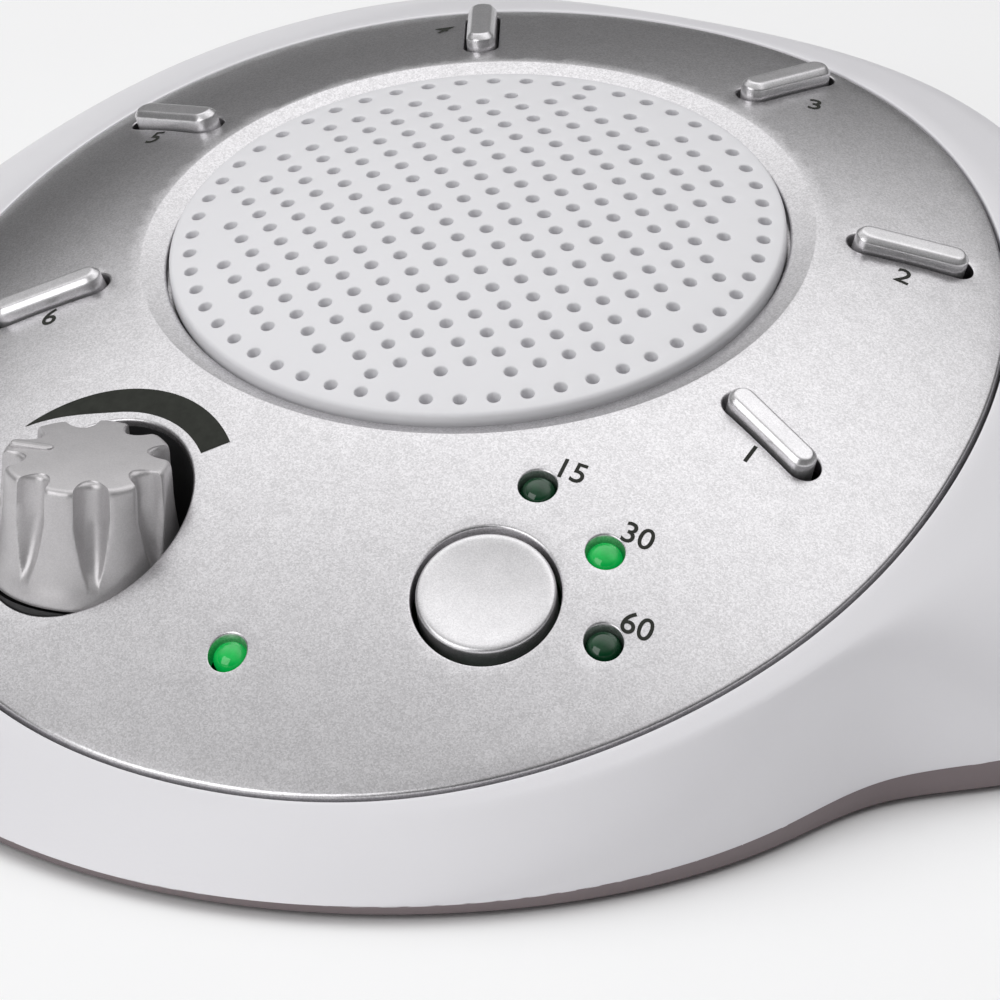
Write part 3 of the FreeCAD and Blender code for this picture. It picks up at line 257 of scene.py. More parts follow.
# Mesh helpers; lengths here are in millimetres until the mesh is made
def crown(x, y):
    """Height of the plate's surface, measured from the grille's top."""
    front_reach = PLATE_HALF_DEPTH - PLATE_CENTRE
    back_reach = PLATE_HALF_DEPTH + PLATE_CENTRE
    share = (x / PLATE_HALF_WIDTH) ** 2
    across = SIDE_DROP * share * (1 + SIDE_BEND * (share - 1))
    front = FRONT_DROP / front_reach ** 2
    back = BACK_DROP / back_reach ** 2
    cubic = (front - back) / (front_reach + back_reach)
    square = back + cubic * back_reach
    return -(across + square * y ** 2 - cubic * y ** 3)


def crown_normal(x, y):
    step = 0.01
    along_x = (crown(x + step, y) - crown(x - step, y)) / (2 * step)
    along_y = (crown(x, y + step) - crown(x, y - step)) / (2 * step)
    return Vector((-along_x, -along_y, 1)).normalized()


def dome(x, y):
    """Height of the grille's surface, measured from its top."""
    return math.sqrt(DOME_RADIUS ** 2 - x * x - y * y) - DOME_RADIUS


def place_on_crown(x, y, turn=0.0):
    """A frame on the surface, its Z axis square to it."""
    normal = crown_normal(x, y)
    tilt = Vector((0, 0, 1)).rotation_difference(normal).to_matrix().to_4x4()
    spin = Matrix.Rotation(math.radians(turn), 4, "Z")
    return Matrix.Translation(Vector((x, y, crown(x, y)))) @ tilt @ spin


def make_object(name, points, faces, body, finish, matrix=TO_OBJECT, sharp=35.0):
    """A piece from points in millimetres in a local frame, riding on a body."""
    mesh = bpy.data.meshes.new(name)
    placed = [(matrix @ Vector(p)) * MM for p in points]
    mesh.from_pydata(placed, [], faces)
    work = bmesh.new()
    work.from_mesh(mesh)
    bmesh.ops.remove_doubles(work, verts=work.verts, dist=WELD_GAP)
    bmesh.ops.dissolve_degenerate(work, edges=work.edges, dist=SHORT_EDGE)
    work.to_mesh(mesh)
    work.free()
    mesh.polygons.foreach_set("use_smooth", [True] * len(mesh.polygons))
    mesh.set_sharp_from_angle(angle=math.radians(sharp))
    mesh.materials.append(MATERIALS[finish])
    obj = bpy.data.objects.new(name, mesh)
    bpy.context.scene.collection.objects.link(obj)
    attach(obj, body)
    return obj


def loft(rows, closed=True, flip=False):
    """Points and quads of a skin through rows that have equally many points."""
    columns = len(rows[0])
    points = [p for row in rows for p in row]
    faces = []
    for i in range(len(rows) - 1):
        for j in range(columns if closed else columns - 1):
            k = (j + 1) % columns
            quad = [i * columns + j, i * columns + k, (i + 1) * columns + k, (i + 1) * columns + j]
            faces.append(quad[::-1] if flip else quad)
    return points, faces


def join_parts(parts):
    """One mesh from several pairs of points and faces."""
    points = []
    faces = []
    for part_points, part_faces in parts:
        start = len(points)
        points += list(part_points)
        faces += [[start + i for i in face] for face in part_faces]
    return points, faces


def inside_loop(points, loop):
    """For each point, whether it lies inside a closed 2-D loop."""
    x = points[:, 0][:, None]
    y = points[:, 1][:, None]
    ax, ay = loop[:, 0], loop[:, 1]
    bx, by = np.roll(ax, -1), np.roll(ay, -1)
    crosses = (ay > y) != (by > y)
    with np.errstate(divide="ignore", invalid="ignore"):
        at = (bx - ax) * (y - ay) / (by - ay) + ax
    return (np.sum(crosses & (x < at), axis=1) % 2) == 1


def free_grid(outline, holes, spacing):
    """Points of a triangular grid inside the outline, clear of it and of every hole."""
    low = outline.min(0)
    high = outline.max(0)
    grid = []
    for row, y in enumerate(np.arange(low[1], high[1], spacing * ROW_PITCH)):
        for x in np.arange(low[0], high[0], spacing):
            grid.append((x + (row % 2) * spacing / 2, y))
    grid = np.array(grid)
    keep = inside_loop(grid, outline)
    for loop in [outline] + holes:
        middle = loop.mean(0)
        reach = np.hypot(*(loop - middle).T).max() + spacing
        near = np.hypot(*(grid - middle).T) < reach
        index = np.nonzero(near & keep)[0]
        if not len(index):
            continue
        candidates = grid[index]
        step = np.hypot(*(np.roll(loop, -1, 0) - loop).T).max()
        gap = np.sqrt(((candidates[:, None, :] - loop[None]) ** 2).sum(2)).min(1)
        bad = gap < max(0.45 * spacing, 0.6 * step)
        if loop is not outline:
            bad |= inside_loop(candidates, loop)
        keep[index[bad]] = False
    return grid[keep]


def filled_region(outline, holes, spacing, height):
    """Triangles over a flat region with holes, lifted to a surface."""
    outline = np.array(outline)
    holes = [np.array(hole) for hole in holes]
    points = []
    edges = []
    for loop in [outline] + holes:
        start = len(points)
        count = len(loop)
        points += [Vector((float(x), float(y))) for x, y in loop]
        edges += [(start + i, start + (i + 1) % count) for i in range(count)]
    points += [Vector((float(x), float(y))) for x, y in free_grid(outline, holes, spacing)]
    out, _, faces, _, _, _ = delaunay_2d_cdt(points, edges, [], 0, 1e-6)
    flat = np.array([(p.x, p.y) for p in out])
    middles = np.array([flat[list(face)].mean(0) for face in faces])
    good = inside_loop(middles, outline)
    for hole in holes:
        centre = hole.mean(0)
        reach = np.hypot(*(hole - centre).T).max()
        index = np.nonzero(good & (np.hypot(*(middles - centre).T) < reach))[0]
        if len(index):
            good[index[inside_loop(middles[index], hole)]] = False
    kept = []
    for face, use in zip(faces, good):
        if not use:
            continue
        a, b, c = (flat[i] for i in face[:3])
        turn = (b[0] - a[0]) * (c[1] - a[1]) - (b[1] - a[1]) * (c[0] - a[0])
        kept.append(list(face) if turn > 0 else list(face)[::-1])
    lifted = [(x, y, height(x, y)) for x, y in flat]
    return lifted, kept


def circle_loop(x, y, radius, count):
    return [(x + radius * math.cos(TAU * i / count), y + radius * math.sin(TAU * i / count))
            for i in range(count)]


def stadium_loop(length, width, ends=14, sides=12):
    """A slot's outline: two straight sides and two half circles."""
    half = (length - width) / 2
    radius = width / 2
    loop = []
    for i in range(ends + 1):
        a = -math.pi / 2 + math.pi * i / ends
        loop.append((half + radius * math.cos(a), radius * math.sin(a)))
    for i in range(1, sides):
        loop.append((half - 2 * half * i / sides, radius))
    for i in range(ends + 1):
        a = math.pi / 2 + math.pi * i / ends
        loop.append((-half + radius * math.cos(a), radius * math.sin(a)))
    for i in range(1, sides):
        loop.append((-half + 2 * half * i / sides, -radius))
    return loop


def turned_loop(loop, x, y, degrees):
    c = math.cos(math.radians(degrees))
    s = math.sin(math.radians(degrees))
    return [(x + u * c - v * s, y + u * s + v * c) for u, v in loop]


def oval_point(a, grow):
    """A point of the plate's outline moved out by grow."""
    power = 2 / PLATE_POWER
    x = math.copysign((PLATE_HALF_WIDTH + grow) * abs(math.cos(a)) ** power, math.cos(a))
    y = math.copysign((PLATE_HALF_DEPTH + grow) * abs(math.sin(a)) ** power, math.sin(a))
    return x, PLATE_CENTRE + y


def oval_loop(grow):
    return [oval_point(TAU * i / PLATE_POINTS, grow) for i in range(PLATE_POINTS)]


def edge_profile(radius, depth, steps=4):
    """Offsets into the material and drops for a rounded edge and the wall below it."""
    profile = []
    for i in range(steps + 1):
        a = math.pi / 2 * i / steps
        profile.append((radius * (1 - math.sin(a)), radius * (1 - math.cos(a))))
    profile.append((0.0, depth * 0.5))
    profile.append((0.0, depth))
    return profile


def edge_strip(loop_at, profile, height, outer=False):
    """The rounded edge of a hole, or of the outline when outer is set."""
    rows = []
    for offset, drop in profile:
        loop = loop_at(-offset if outer else offset)
        rows.append([(x, y, height(x, y) - drop) for x, y in loop])
    return loft(rows, True, outer)


# Faceplate with rounded openings
EDGE = 0.28
SLOT_RING = 44.6
SLOT_LENGTH = 12.8
SLOT_WIDTH = 3.7
SLOT_EDGE = 0.22
SOUND_ANGLES = [-25 + 46 * i for i in range(6)]
TIMER = (21.6, -49.0)
TIMER_HOLE = 7.65
LAMPS = {
    "timer_lamp_15": (21.84, -35.57),
    "timer_lamp_30": (31.04, -40.32),
    "timer_lamp_60": (34.52, -49.59),
    "power_lamp": (-1.7, -61.3),
}
LAMP_HOLE = 2.0
LAMP_EDGE = 0.18

# Knob's cup, whose axis is upright
KNOB = (-22.8, -48.3)
KNOB_FOOT = Vector((*KNOB, crown(*KNOB)))
CUP_RADIUS = 10.75
CUP_DEPTH = 7.0
CUP_EDGE_DEPTH = 1.6
CUP_POINTS = 96

# Sloping ring round the grille's opening, its rounded borders, and the seat below
OPENING = 32.35
SEAT = 30.3
SLOPE_START = 35.2
SLOPE_DEPTH = 0.55
SLOPE = SLOPE_DEPTH / (SLOPE_START - OPENING)
SLOPE_FOOT = crown(0, SLOPE_START) - SLOPE_DEPTH
OUTER_ROUND = 0.12
INNER_ROUND = 0.15
RIM_POINTS = 160
RIM_SEARCH = (32.4, 40.0)
HALVINGS = 40


def on_ring(radius, degrees):
    a = math.radians(degrees)
    return radius * math.cos(a), radius * math.sin(a)


def level_direction(a):
    """A direction level with the ground, in the plate's frame."""
    return Vector((math.cos(a), math.sin(a) * math.cos(LEAN), -math.sin(a) * math.sin(LEAN)))


def cup_loop(radius):
    """Where an upright cylinder round the knob's axis meets the surface."""
    loop = []
    for i in range(CUP_POINTS):
        base = KNOB_FOOT + level_direction(TAU * i / CUP_POINTS) * radius
        rise = 0.0
        for _ in range(12):
            p = base + UPRIGHT * rise
            rise += crown(p.x, p.y) - p.z
        p = base + UPRIGHT * rise
        loop.append((p.x, p.y))
    return loop


def slope_rim(shift):
    """Where the sloping ring round the grille meets the surface, moved out by shift."""
    loop = []
    for i in range(RIM_POINTS):
        a = TAU * i / RIM_POINTS
        low, high = RIM_SEARCH
        for _ in range(HALVINGS):
            r = (low + high) / 2
            gap = crown(r * math.cos(a), r * math.sin(a)) - (SLOPE_FOOT + SLOPE * (r - OPENING))
            if gap > 0:
                low = r
            else:
                high = r
        r = low + shift
        loop.append((r * math.cos(a), r * math.sin(a)))
    return loop


def slope_ring():
    """The sloping ring round the grille and the wall of its opening."""
    rim = slope_rim(0.0)
    rows = [[(x, y, crown(x, y)) for x, y in slope_rim(OUTER_ROUND)]]
    for share in (0.0, 0.03, 0.06, 0.12, 0.5, 0.88, 0.94):
        row = []
        for x, y in rim:
            r = math.hypot(x, y)
            radius = r + (OPENING + INNER_ROUND - r) * share
            level = SLOPE_FOOT + SLOPE * (radius - OPENING)
            row.append((x / r * radius, y / r * radius, level - (0.03 if share == 0 else 0)))
        rows.append(row)
    wall = [(OPENING + INNER_ROUND, -SLOPE * INNER_ROUND), (OPENING + 0.05, 0.04), (OPENING, 0.2),
            (OPENING, 2.0), (SEAT, 2.05), (SEAT, 8.0)]
    for radius, drop in wall:
        rows.append([(x / math.hypot(x, y) * radius, y / math.hypot(x, y) * radius, SLOPE_FOOT - drop)
                     for x, y in rim])
    return loft(rows)


def make_faceplate():
    parts = []
    holes = []

    def add_hole(loop_at, radius):
        holes.append(loop_at(radius))
        parts.append(edge_strip(loop_at, edge_profile(radius, PLATE_WALL), crown))

    add_hole(lambda grow: circle_loop(*TIMER, TIMER_HOLE + grow, 96), EDGE)
    for place in LAMPS.values():
        add_hole(lambda grow, place=place: circle_loop(*place, LAMP_HOLE + grow, 40), LAMP_EDGE)
    for angle in SOUND_ANGLES:
        x, y = on_ring(SLOT_RING, angle)
        add_hole(lambda grow, x=x, y=y, angle=angle: turned_loop(
            stadium_loop(SLOT_LENGTH + 2 * grow, SLOT_WIDTH + 2 * grow), x, y, angle), SLOT_EDGE)
    holes.append(cup_loop(CUP_RADIUS + EDGE))
    holes.append(slope_rim(OUTER_ROUND))
    parts.append(filled_region(oval_loop(-EDGE), holes, 1.25, crown))
    parts.append(edge_strip(oval_loop, edge_profile(EDGE, PLATE_WALL), crown, True))

    # Rounded edge of the knob's cup
    rows = []
    for offset, drop in edge_profile(EDGE, CUP_EDGE_DEPTH)[:-1]:
        rows.append([(x, y, crown(x, y) - drop) for x, y in cup_loop(CUP_RADIUS + offset)])
    parts.append(loft(rows))
    parts.append(slope_ring())
    points, faces = join_parts(parts)
    plate = make_object("plate_skin", points, faces, "case", "silver_paint")
    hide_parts("faceplate")


make_faceplate()


def make_painted_shade_cup():
    """The inside of the knob's cup below its rounded edge, coloured black as painted shade for the dark gap
    round the knob.
    """
    rows = [[(x, y, crown(x, y) - CUP_EDGE_DEPTH / 2) for x, y in cup_loop(CUP_RADIUS)]]
    profile = [(-6.4, CUP_RADIUS), (-6.8, 10.63), (-CUP_DEPTH, 10.2), (-CUP_DEPTH, 5.0), (-CUP_DEPTH, 3.6)]
    for level, radius in profile:
        rows.append([
            tuple(KNOB_FOOT + level_direction(TAU * i / CUP_POINTS) * radius + UPRIGHT * level)
            for i in range(CUP_POINTS)])
    points, faces = loft(rows)
    # Black here is painted shade: the real cup is part of the silver plate.
    make_object("knob_cup_painted_shade", points, faces, "case", "black_plastic")


make_painted_shade_cup()


# Grille: a dome with a grid of round-edged holes and a ring of holes at its border
GRILLE_RADIUS = 32.0
GRILLE_EDGE = 0.4
GRILLE_WALL = 1.8
GRILLE_POINTS = 160
GRID_PITCH = 3.2
GRID_REACH = 27.3
BORDER_REACH = 29.8
BORDER_HOLES = 54
HOLE_RADIUS = 0.7
HOLE_EDGE = 0.16
HOLE_POINTS = 20


def grille_places():
    places = []
    steps = int(GRID_REACH / GRID_PITCH) + 1
    turn = math.radians(45)
    for i in range(-steps, steps + 1):
        for j in range(-steps, steps + 1):
            x = GRID_PITCH * (i * math.cos(turn) - j * math.sin(turn))
            y = GRID_PITCH * (i * math.sin(turn) + j * math.cos(turn))
            if math.hypot(x, y) <= GRID_REACH:
                places.append((x, y))
    places += [on_ring(BORDER_REACH, 360 * (i + 0.5) / BORDER_HOLES) for i in range(BORDER_HOLES)]
    return places


def make_grille():
    parts = []
    holes = []
    profile = edge_profile(HOLE_EDGE, GRILLE_WALL, 3)
    for x, y in grille_places():
        holes.append(circle_loop(x, y, HOLE_RADIUS + HOLE_EDGE, HOLE_POINTS))
        parts.append(edge_strip(
            lambda grow, x=x, y=y: circle_loop(x, y, HOLE_RADIUS + grow, HOLE_POINTS), profile, dome))
    outline = circle_loop(0, 0, GRILLE_RADIUS - GRILLE_EDGE, GRILLE_POINTS)
    parts.append(filled_region(outline, holes, 0.95, dome))
    parts.append(edge_strip(
        lambda grow: circle_loop(0, 0, GRILLE_RADIUS + grow, GRILLE_POINTS),
        edge_profile(GRILLE_EDGE, GRILLE_WALL), dome, True))
    points, faces = join_parts(parts)
    grille = make_object("grille_skin", points, faces, "case", "white_grille")
    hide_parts("speaker_grille")


make_grille()


# Sound buttons: bars with a bevelled, softly rounded top
BAR_LENGTH = 12.1
BAR_WIDTH = 3.0
BAR_PROFILE = [  # inset and level
    (0.0, -3.2), (0.0, 0.0), (0.0, 0.92), (0.03, 1.02), (0.1, 1.12), (0.42, 1.47),
    (0.52, 1.55), (0.64, 1.59), (0.8, 1.6), (1.1, 1.6), (1.4, 1.6), (1.499, 1.6)]


def make_sound_bar(number, angle):
    place = TO_OBJECT @ place_on_crown(*on_ring(SLOT_RING, angle), angle)
    rows = []
    for inset, level in BAR_PROFILE:
        loop = stadium_loop(BAR_LENGTH - 2 * inset, BAR_WIDTH - 2 * inset)
        rows.append([(x, y, level) for x, y in loop])
    points, faces = loft(rows)
    bar = make_object("sound_bar_%d" % number, points, faces, "sound_key_%d" % number,
                      "silver_button", place, 50.0)
    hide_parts("sound_button_%d" % number)


for i, angle in enumerate(SOUND_ANGLES):
    make_sound_bar(i + 1, angle)


def circle_row(radius, level, count):
    return [(radius * math.cos(TAU * i / count), radius * math.sin(TAU * i / count), level)
            for i in range(count)]


def revolved(profile, count):
    """A turned shape from radius and level pairs, closed at the middle."""
    return loft([circle_row(radius, level, count) for radius, level in profile])


# Timer button: a shallow dish inside a rounded rim
TIMER_PROFILE = [  # radius and level
    (7.15, -4.0), (7.15, -0.3), (7.11, -0.08), (7.0, 0.1), (6.82, 0.21), (6.6, 0.26), (6.3, 0.25)]
DISH_RADIUS = 6.2
DISH_LEVEL = 0.24
DISH_DEPTH = 0.42
DISH_STEPS = 12
MIDDLE_RADIUS = 0.001


def make_timer():
    place = TO_OBJECT @ place_on_crown(*TIMER)
    profile = list(TIMER_PROFILE)
    for i in range(1, DISH_STEPS + 1):
        r = DISH_RADIUS * (1 - i / DISH_STEPS)
        level = DISH_LEVEL - DISH_DEPTH * (1 - (r / DISH_RADIUS) ** 2)
        profile.append((max(r, MIDDLE_RADIUS), level))
    points, faces = revolved(profile, 128)
    button = make_object("timer_key_skin", points, faces, "timer_key", "silver_button", place, 60.0)
    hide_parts("timer_button")


make_timer()


# Lamps: a domed lens, sunk a little in its hole
LIT_LAMPS = ("timer_lamp_30", "power_lamp")
LENS_RADIUS = 1.8
LENS_FOOT = -4.0
LENS_SHOULDER = -1.35
LENS_RISE = 1.3
LENS_STEPS = 10


def make_lamp(name, x, y):
    profile = [(LENS_RADIUS, LENS_FOOT), (LENS_RADIUS, LENS_SHOULDER)]
    for i in range(1, LENS_STEPS + 1):
        a = math.pi / 2 * i / LENS_STEPS
        radius = max(LENS_RADIUS * math.cos(a), MIDDLE_RADIUS)
        profile.append((radius, LENS_SHOULDER + LENS_RISE * math.sin(a)))
    points, faces = revolved(profile, 48)
    place = TO_OBJECT @ place_on_crown(x, y)
    finish = "lamp_lit" if name in LIT_LAMPS else "lamp_off"
    lamp = make_object(name + "_lens", points, faces, "case", finish, place, 60.0)
    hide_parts(name)


for name, (x, y) in LAMPS.items():
    make_lamp(name, x, y)


# Volume knob: a skirt that flares at its foot, with flutes that fade out above it
POINTER = 185.5
KNOB_LIFT = 0.6
KNOB_UNDERSIDE = 9.6
KNOB_POINTS = 640
KNOB_SIDE = [  # level and radius
    (0.0, 10.2), (0.4, 10.18), (1.2, 9.98), (2.4, 9.62), (4.0, 9.32), (6.0, 9.12), (9.0, 8.95),
    (11.6, 8.82), (12.1, 8.76), (12.4, 8.66), (12.6, 8.5), (12.7, 8.3)]
KNOB_LEVELS = [
    0.0, 0.15, 0.4, 0.8, 1.2, 1.7, 2.3, 3.0, 3.4, 3.8, 4.3, 4.8, 5.4, 6.0, 6.6, 7.4, 8.2, 9.0,
    10.0, 11.0, 11.6, 11.9, 12.1, 12.25, 12.4, 12.5, 12.6, 12.66, 12.7]
TOP_RADIUS = 8.3
TOP_LEVEL = 12.72
TOP_CROWN = 0.35
FLUTES = 8
FLUTE_START = 2.6
FLUTE_RUN = 6.5
FLUTE_DEPTH = 2.1
FLUTE_REACH = 8.8
FLUTE_SHOULDER = 0.35
SHOULDER_DEPTH = 0.07


def knob_radius(level, turn):
    """Radius of the knob's side at a level above its foot."""
    radius = float(np.interp(level, [b[0] for b in KNOB_SIDE], [b[1] for b in KNOB_SIDE]))
    step = TAU / FLUTES
    off = turn % step - step / 2
    fade = min(1.0, max(0.0, (level - FLUTE_START) / FLUTE_RUN)) ** 0.6
    half_width = 0.25 + 1.6 * fade
    across = abs(off * FLUTE_REACH) / half_width
    if across > 1 + FLUTE_SHOULDER:
        return radius
    if across < 1:
        shape = SHOULDER_DEPTH + (1 - SHOULDER_DEPTH) * math.sqrt(1 - across ** 2)
    else:
        shape = SHOULDER_DEPTH * (1 - (across - 1) / FLUTE_SHOULDER) ** 2
    return radius - FLUTE_DEPTH * fade * shape


def make_knob():
    rows = [circle_row(KNOB_UNDERSIDE, 0.0, KNOB_POINTS)]
    for level in KNOB_LEVELS:
        row = []
        for i in range(KNOB_POINTS):
            a = TAU * i / KNOB_POINTS
            r = knob_radius(level, a)
            row.append((r * math.cos(a), r * math.sin(a), level))
        rows.append(row)
    edge = rows[-1]
    for share in (0.985, 0.965, 0.93, 0.87, 0.78, 0.6, 0.4, 0.2, 0.001):
        row = []
        for x, y, _ in edge:
            r = math.hypot(x, y) * share
            row.append((x * share, y * share, TOP_LEVEL + TOP_CROWN * (1 - (r / TOP_RADIUS) ** 2)))
        rows.append(row)
    # Raised pointer on the top, near the edge
    bar = []
    bar_profile = [(0.0, 12.5), (0.0, 13.05), (0.06, 13.16), (0.18, 13.2), (0.4, 13.2), (0.549, 13.2)]
    for inset, level in bar_profile:
        loop = stadium_loop(4.6 - 2 * inset, 1.1 - 2 * inset, 8, 6)
        bar.append([(x + 5.9, y, level) for x, y in loop])
    points, faces = join_parts([loft(rows), loft(bar)])
    axis = TO_OBJECT @ KNOB_FOOT
    foot = Vector((axis.x, axis.y, axis.z - CUP_DEPTH + KNOB_LIFT))
    place = Matrix.Translation(foot) @ Matrix.Rotation(math.radians(POINTER), 4, "Z")
    knob = make_object("knob_skin", points, faces, "knob", "silver_knob", place, 50.0)
    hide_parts("volume_knob")


make_knob()


# Upper housing: smooth rows from the lip beside the plate down to the seam
FRONT = BACK = 70.4
WING = 79.5
WAIST = 59.6
PLATE_GAP = 0.35
LIP_WIDTH = 0.36
HOUSING_COLUMNS = 360
WALL_STEPS = 22
STATIONS = [  # angle on the plate, width of the band beside it, and the wall's foot
    (-90, 2.0, 0, -FRONT),
    (-72, 2.0, 0.42 * WAIST, -0.92 * FRONT),
    (-54, 2.2, 0.71 * WAIST, -0.746 * FRONT),
    (-36, 2.6, 0.895 * WAIST, -0.515 * FRONT),
    (-20, 3.2, WAIST, -0.333 * FRONT),
    (-7, 4.2, 0.86 * WING, -0.225 * FRONT),
    (8, 5.5, 0.985 * WING, -0.03 * FRONT),
    (24, 7.5, WING, 0.24 * BACK),
    (42, 10.0, 0.85 * WING, 0.58 * BACK),
    (64, 8.0, 0.5 * WING, 0.88 * BACK),
    (90, 2.6, 0, BACK),
]


def seam_level(y):
    """Height of the seam above the ground, which climbs a little to the back."""
    return 1.9 + 0.038 * (y + FRONT)


def on_crown(degrees, grow, drop):
    """A point beside the plate's outline, below its continued surface by drop."""
    x, y = oval_point(math.radians(degrees), grow)
    return TO_OBJECT @ Vector((x, y, crown(x, y) - drop))


def smooth_loop(half_points, count):
    """A closed smooth curve through a half outline and its mirror image."""
    mirrored = [Vector((-p.x, p.y, p.z)) for p in half_points[-2:0:-1]]
    knots = np.array([tuple(p) for p in list(half_points) + mirrored])
    n = len(knots)
    spans = np.linalg.norm(np.roll(knots, -1, 0) - knots, axis=1)
    matrix = np.zeros((n, n))
    right = np.zeros((n, 3))
    for i in range(n):
        before = spans[i - 1]
        after = spans[i]
        matrix[i, (i - 1) % n] += before
        matrix[i, i] += 2 * (before + after)
        matrix[i, (i + 1) % n] += after
        right[i] = 6 * ((knots[(i + 1) % n] - knots[i]) / after - (knots[i] - knots[i - 1]) / before)
    bend = np.linalg.solve(matrix, right)
    points = []
    steps = count // n
    for i in range(n):
        k = (i + 1) % n
        h = spans[i]
        for s in range(steps):
            t = s / steps
            a = 1 - t
            p = a * knots[i] + t * knots[k]
            p = p + h * h / 6 * ((a ** 3 - a) * bend[i] + (t ** 3 - t) * bend[k])
            points.append(tuple(p))
    return points


def make_housing():
    angles = [station[0] for station in STATIONS]
    shares = [i / WALL_STEPS for i in range(WALL_STEPS + 1)]
    walls = []
    for degrees, band, foot_x, foot_y in STATIONS:
        lip = on_crown(degrees, band, 0)
        before = on_crown(degrees, band - 0.5, 0)
        foot = Vector((foot_x, foot_y, seam_level(foot_y)))
        rise = lip - before
        outward = math.hypot(foot.x - lip.x, foot.y - lip.y)
        level = max(lip.z + outward * rise.z / math.hypot(rise.x, rise.y), foot.z)
        corner = Vector((foot.x, foot.y, level))
        walls.append([lip * (1 - s) ** 2 + corner * (2 * s * (1 - s)) + foot * s ** 2 for s in shares])
    # The gap beside the plate, the rounded lip, and the band out to the wall
    lip_profile = [(0, 2.3), (0, 1.2), (0, 0.42), (0.03, 0.27), (0.1, 0.13), (0.22, 0.04), (LIP_WIDTH, 0.0)]
    rows = []
    for grow, drop in lip_profile:
        rows.append(smooth_loop([on_crown(d, PLATE_GAP + grow, drop) for d in angles], HOUSING_COLUMNS))
    lip_end = PLATE_GAP + LIP_WIDTH
    for share in (0.25, 0.5, 0.75):
        half = [on_crown(d, lip_end + (band - lip_end) * share, 0) for d, band, _, _ in STATIONS]
        rows.append(smooth_loop(half, HOUSING_COLUMNS))
    for half in zip(*walls):
        rows.append(smooth_loop(half, HOUSING_COLUMNS))
    # Under the wall's foot, a short step back to the base cover
    foot = rows[-1]
    for pull, drop in ((0.0006, 0.12), (0.004, 0.2), (0.02, 0.2), (0.03, 0.0)):
        rows.append([(x * (1 - pull), y * (1 - pull), z - drop) for x, y, z in foot])
    points, faces = loft(rows, True, True)
    housing = make_object("housing_skin", points, faces, "case", "white_shell", Matrix.Identity(4), 40.0)
    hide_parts("upper_housing")


make_housing()


# Print on the plate: plain numbers and the volume wedge
PRINT_LIFT = 0.035
NUMBER_HEIGHT = 2.5
CAPITAL_SHARE = 0.72
TIMER_LABELS = {"15": (24.3, -32.8), "30": (33.4, -37.4), "60": (37.0, -46.8)}
SOUND_LABELS = [
    (39.6, -22.6), (42.6, 11.7), (21.9, 38.5), (-22.1, 41.2), (-42.8, 12.5), (-39.0, -22.0)]


def lay_on_crown(points):
    return [(x, y, crown(x, y) + PRINT_LIFT) for x, y in points]


def make_number(name, text, x, y, degrees):
    curve = bpy.data.curves.new(name, "FONT")
    curve.body = text
    curve.size = NUMBER_HEIGHT / CAPITAL_SHARE
    curve.align_x = "CENTER"
    curve.align_y = "CENTER"
    curve.offset = 0.012 * NUMBER_HEIGHT
    curve.resolution_u = 6
    temporary = bpy.data.objects.new(name + "_curve", curve)
    bpy.context.scene.collection.objects.link(temporary)
    bpy.context.view_layer.update()
    mesh = temporary.to_mesh()
    flat = turned_loop([(v.co.x, v.co.y) for v in mesh.vertices], x, y, degrees)
    faces = [list(p.vertices) for p in mesh.polygons]
    temporary.to_mesh_clear()
    bpy.data.objects.remove(temporary)
    bpy.data.curves.remove(curve)
    make_object(name, lay_on_crown(flat), faces, "case", "print")


for text, (x, y) in TIMER_LABELS.items():
    make_number("print_" + text, text, x, y, 0)
for i, (x, y) in enumerate(SOUND_LABELS):
    turn = SOUND_ANGLES[i] if SOUND_ANGLES[i] < 90 else SOUND_ANGLES[i] - 180
    make_number("print_sound_%d" % (i + 1), str(i + 1), x, y, turn * 0.25)

WEDGE_CENTRE = (-23.6, -47.6)
WEDGE_START = 138.5
WEDGE_SWEEP = 102.5
WEDGE_REACH = 14.7
WEDGE_SPREAD = 0.9
WEDGE_TIP = 0.05
WEDGE_WIDTH = 3.05
WEDGE_TAPER = 0.42
WEDGE_STEPS = 60


def wedge_point(reach, a):
    return WEDGE_CENTRE[0] + reach * math.cos(a), WEDGE_CENTRE[1] + reach * math.sin(a)


def make_wedge():
    """A band round the knob that widens along its arc."""
    outer = []
    inner = []
    for i in range(WEDGE_STEPS + 1):
        s = i / WEDGE_STEPS
        a = math.radians(WEDGE_START - WEDGE_SWEEP * s)
        reach = WEDGE_REACH + WEDGE_SPREAD * s ** 2
        width = WEDGE_WIDTH * math.sin(math.pi / 2 * min(1, s / WEDGE_TAPER))
        inner.append(wedge_point(reach - WEDGE_TIP - width, a))
        outer.append(wedge_point(reach, a))
    middle = [((a + c) / 2, (b + d) / 2) for (a, b), (c, d) in zip(inner, outer)]
    points, faces = loft([lay_on_crown(row) for row in (inner, middle, outer)], False)
    make_object("print_volume_wedge", points, faces, "case", "print")


make_wedge()

# Finishes of the CAD nodes that stay in view
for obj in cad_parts.values():
    slots = [m.name.split(".")[0] for m in obj.data.materials if m]
    finish = next((slot for slot in slots if slot in MATERIALS), "white_shell")
    obj.data.materials.clear()
    obj.data.materials.append(MATERIALS[finish])

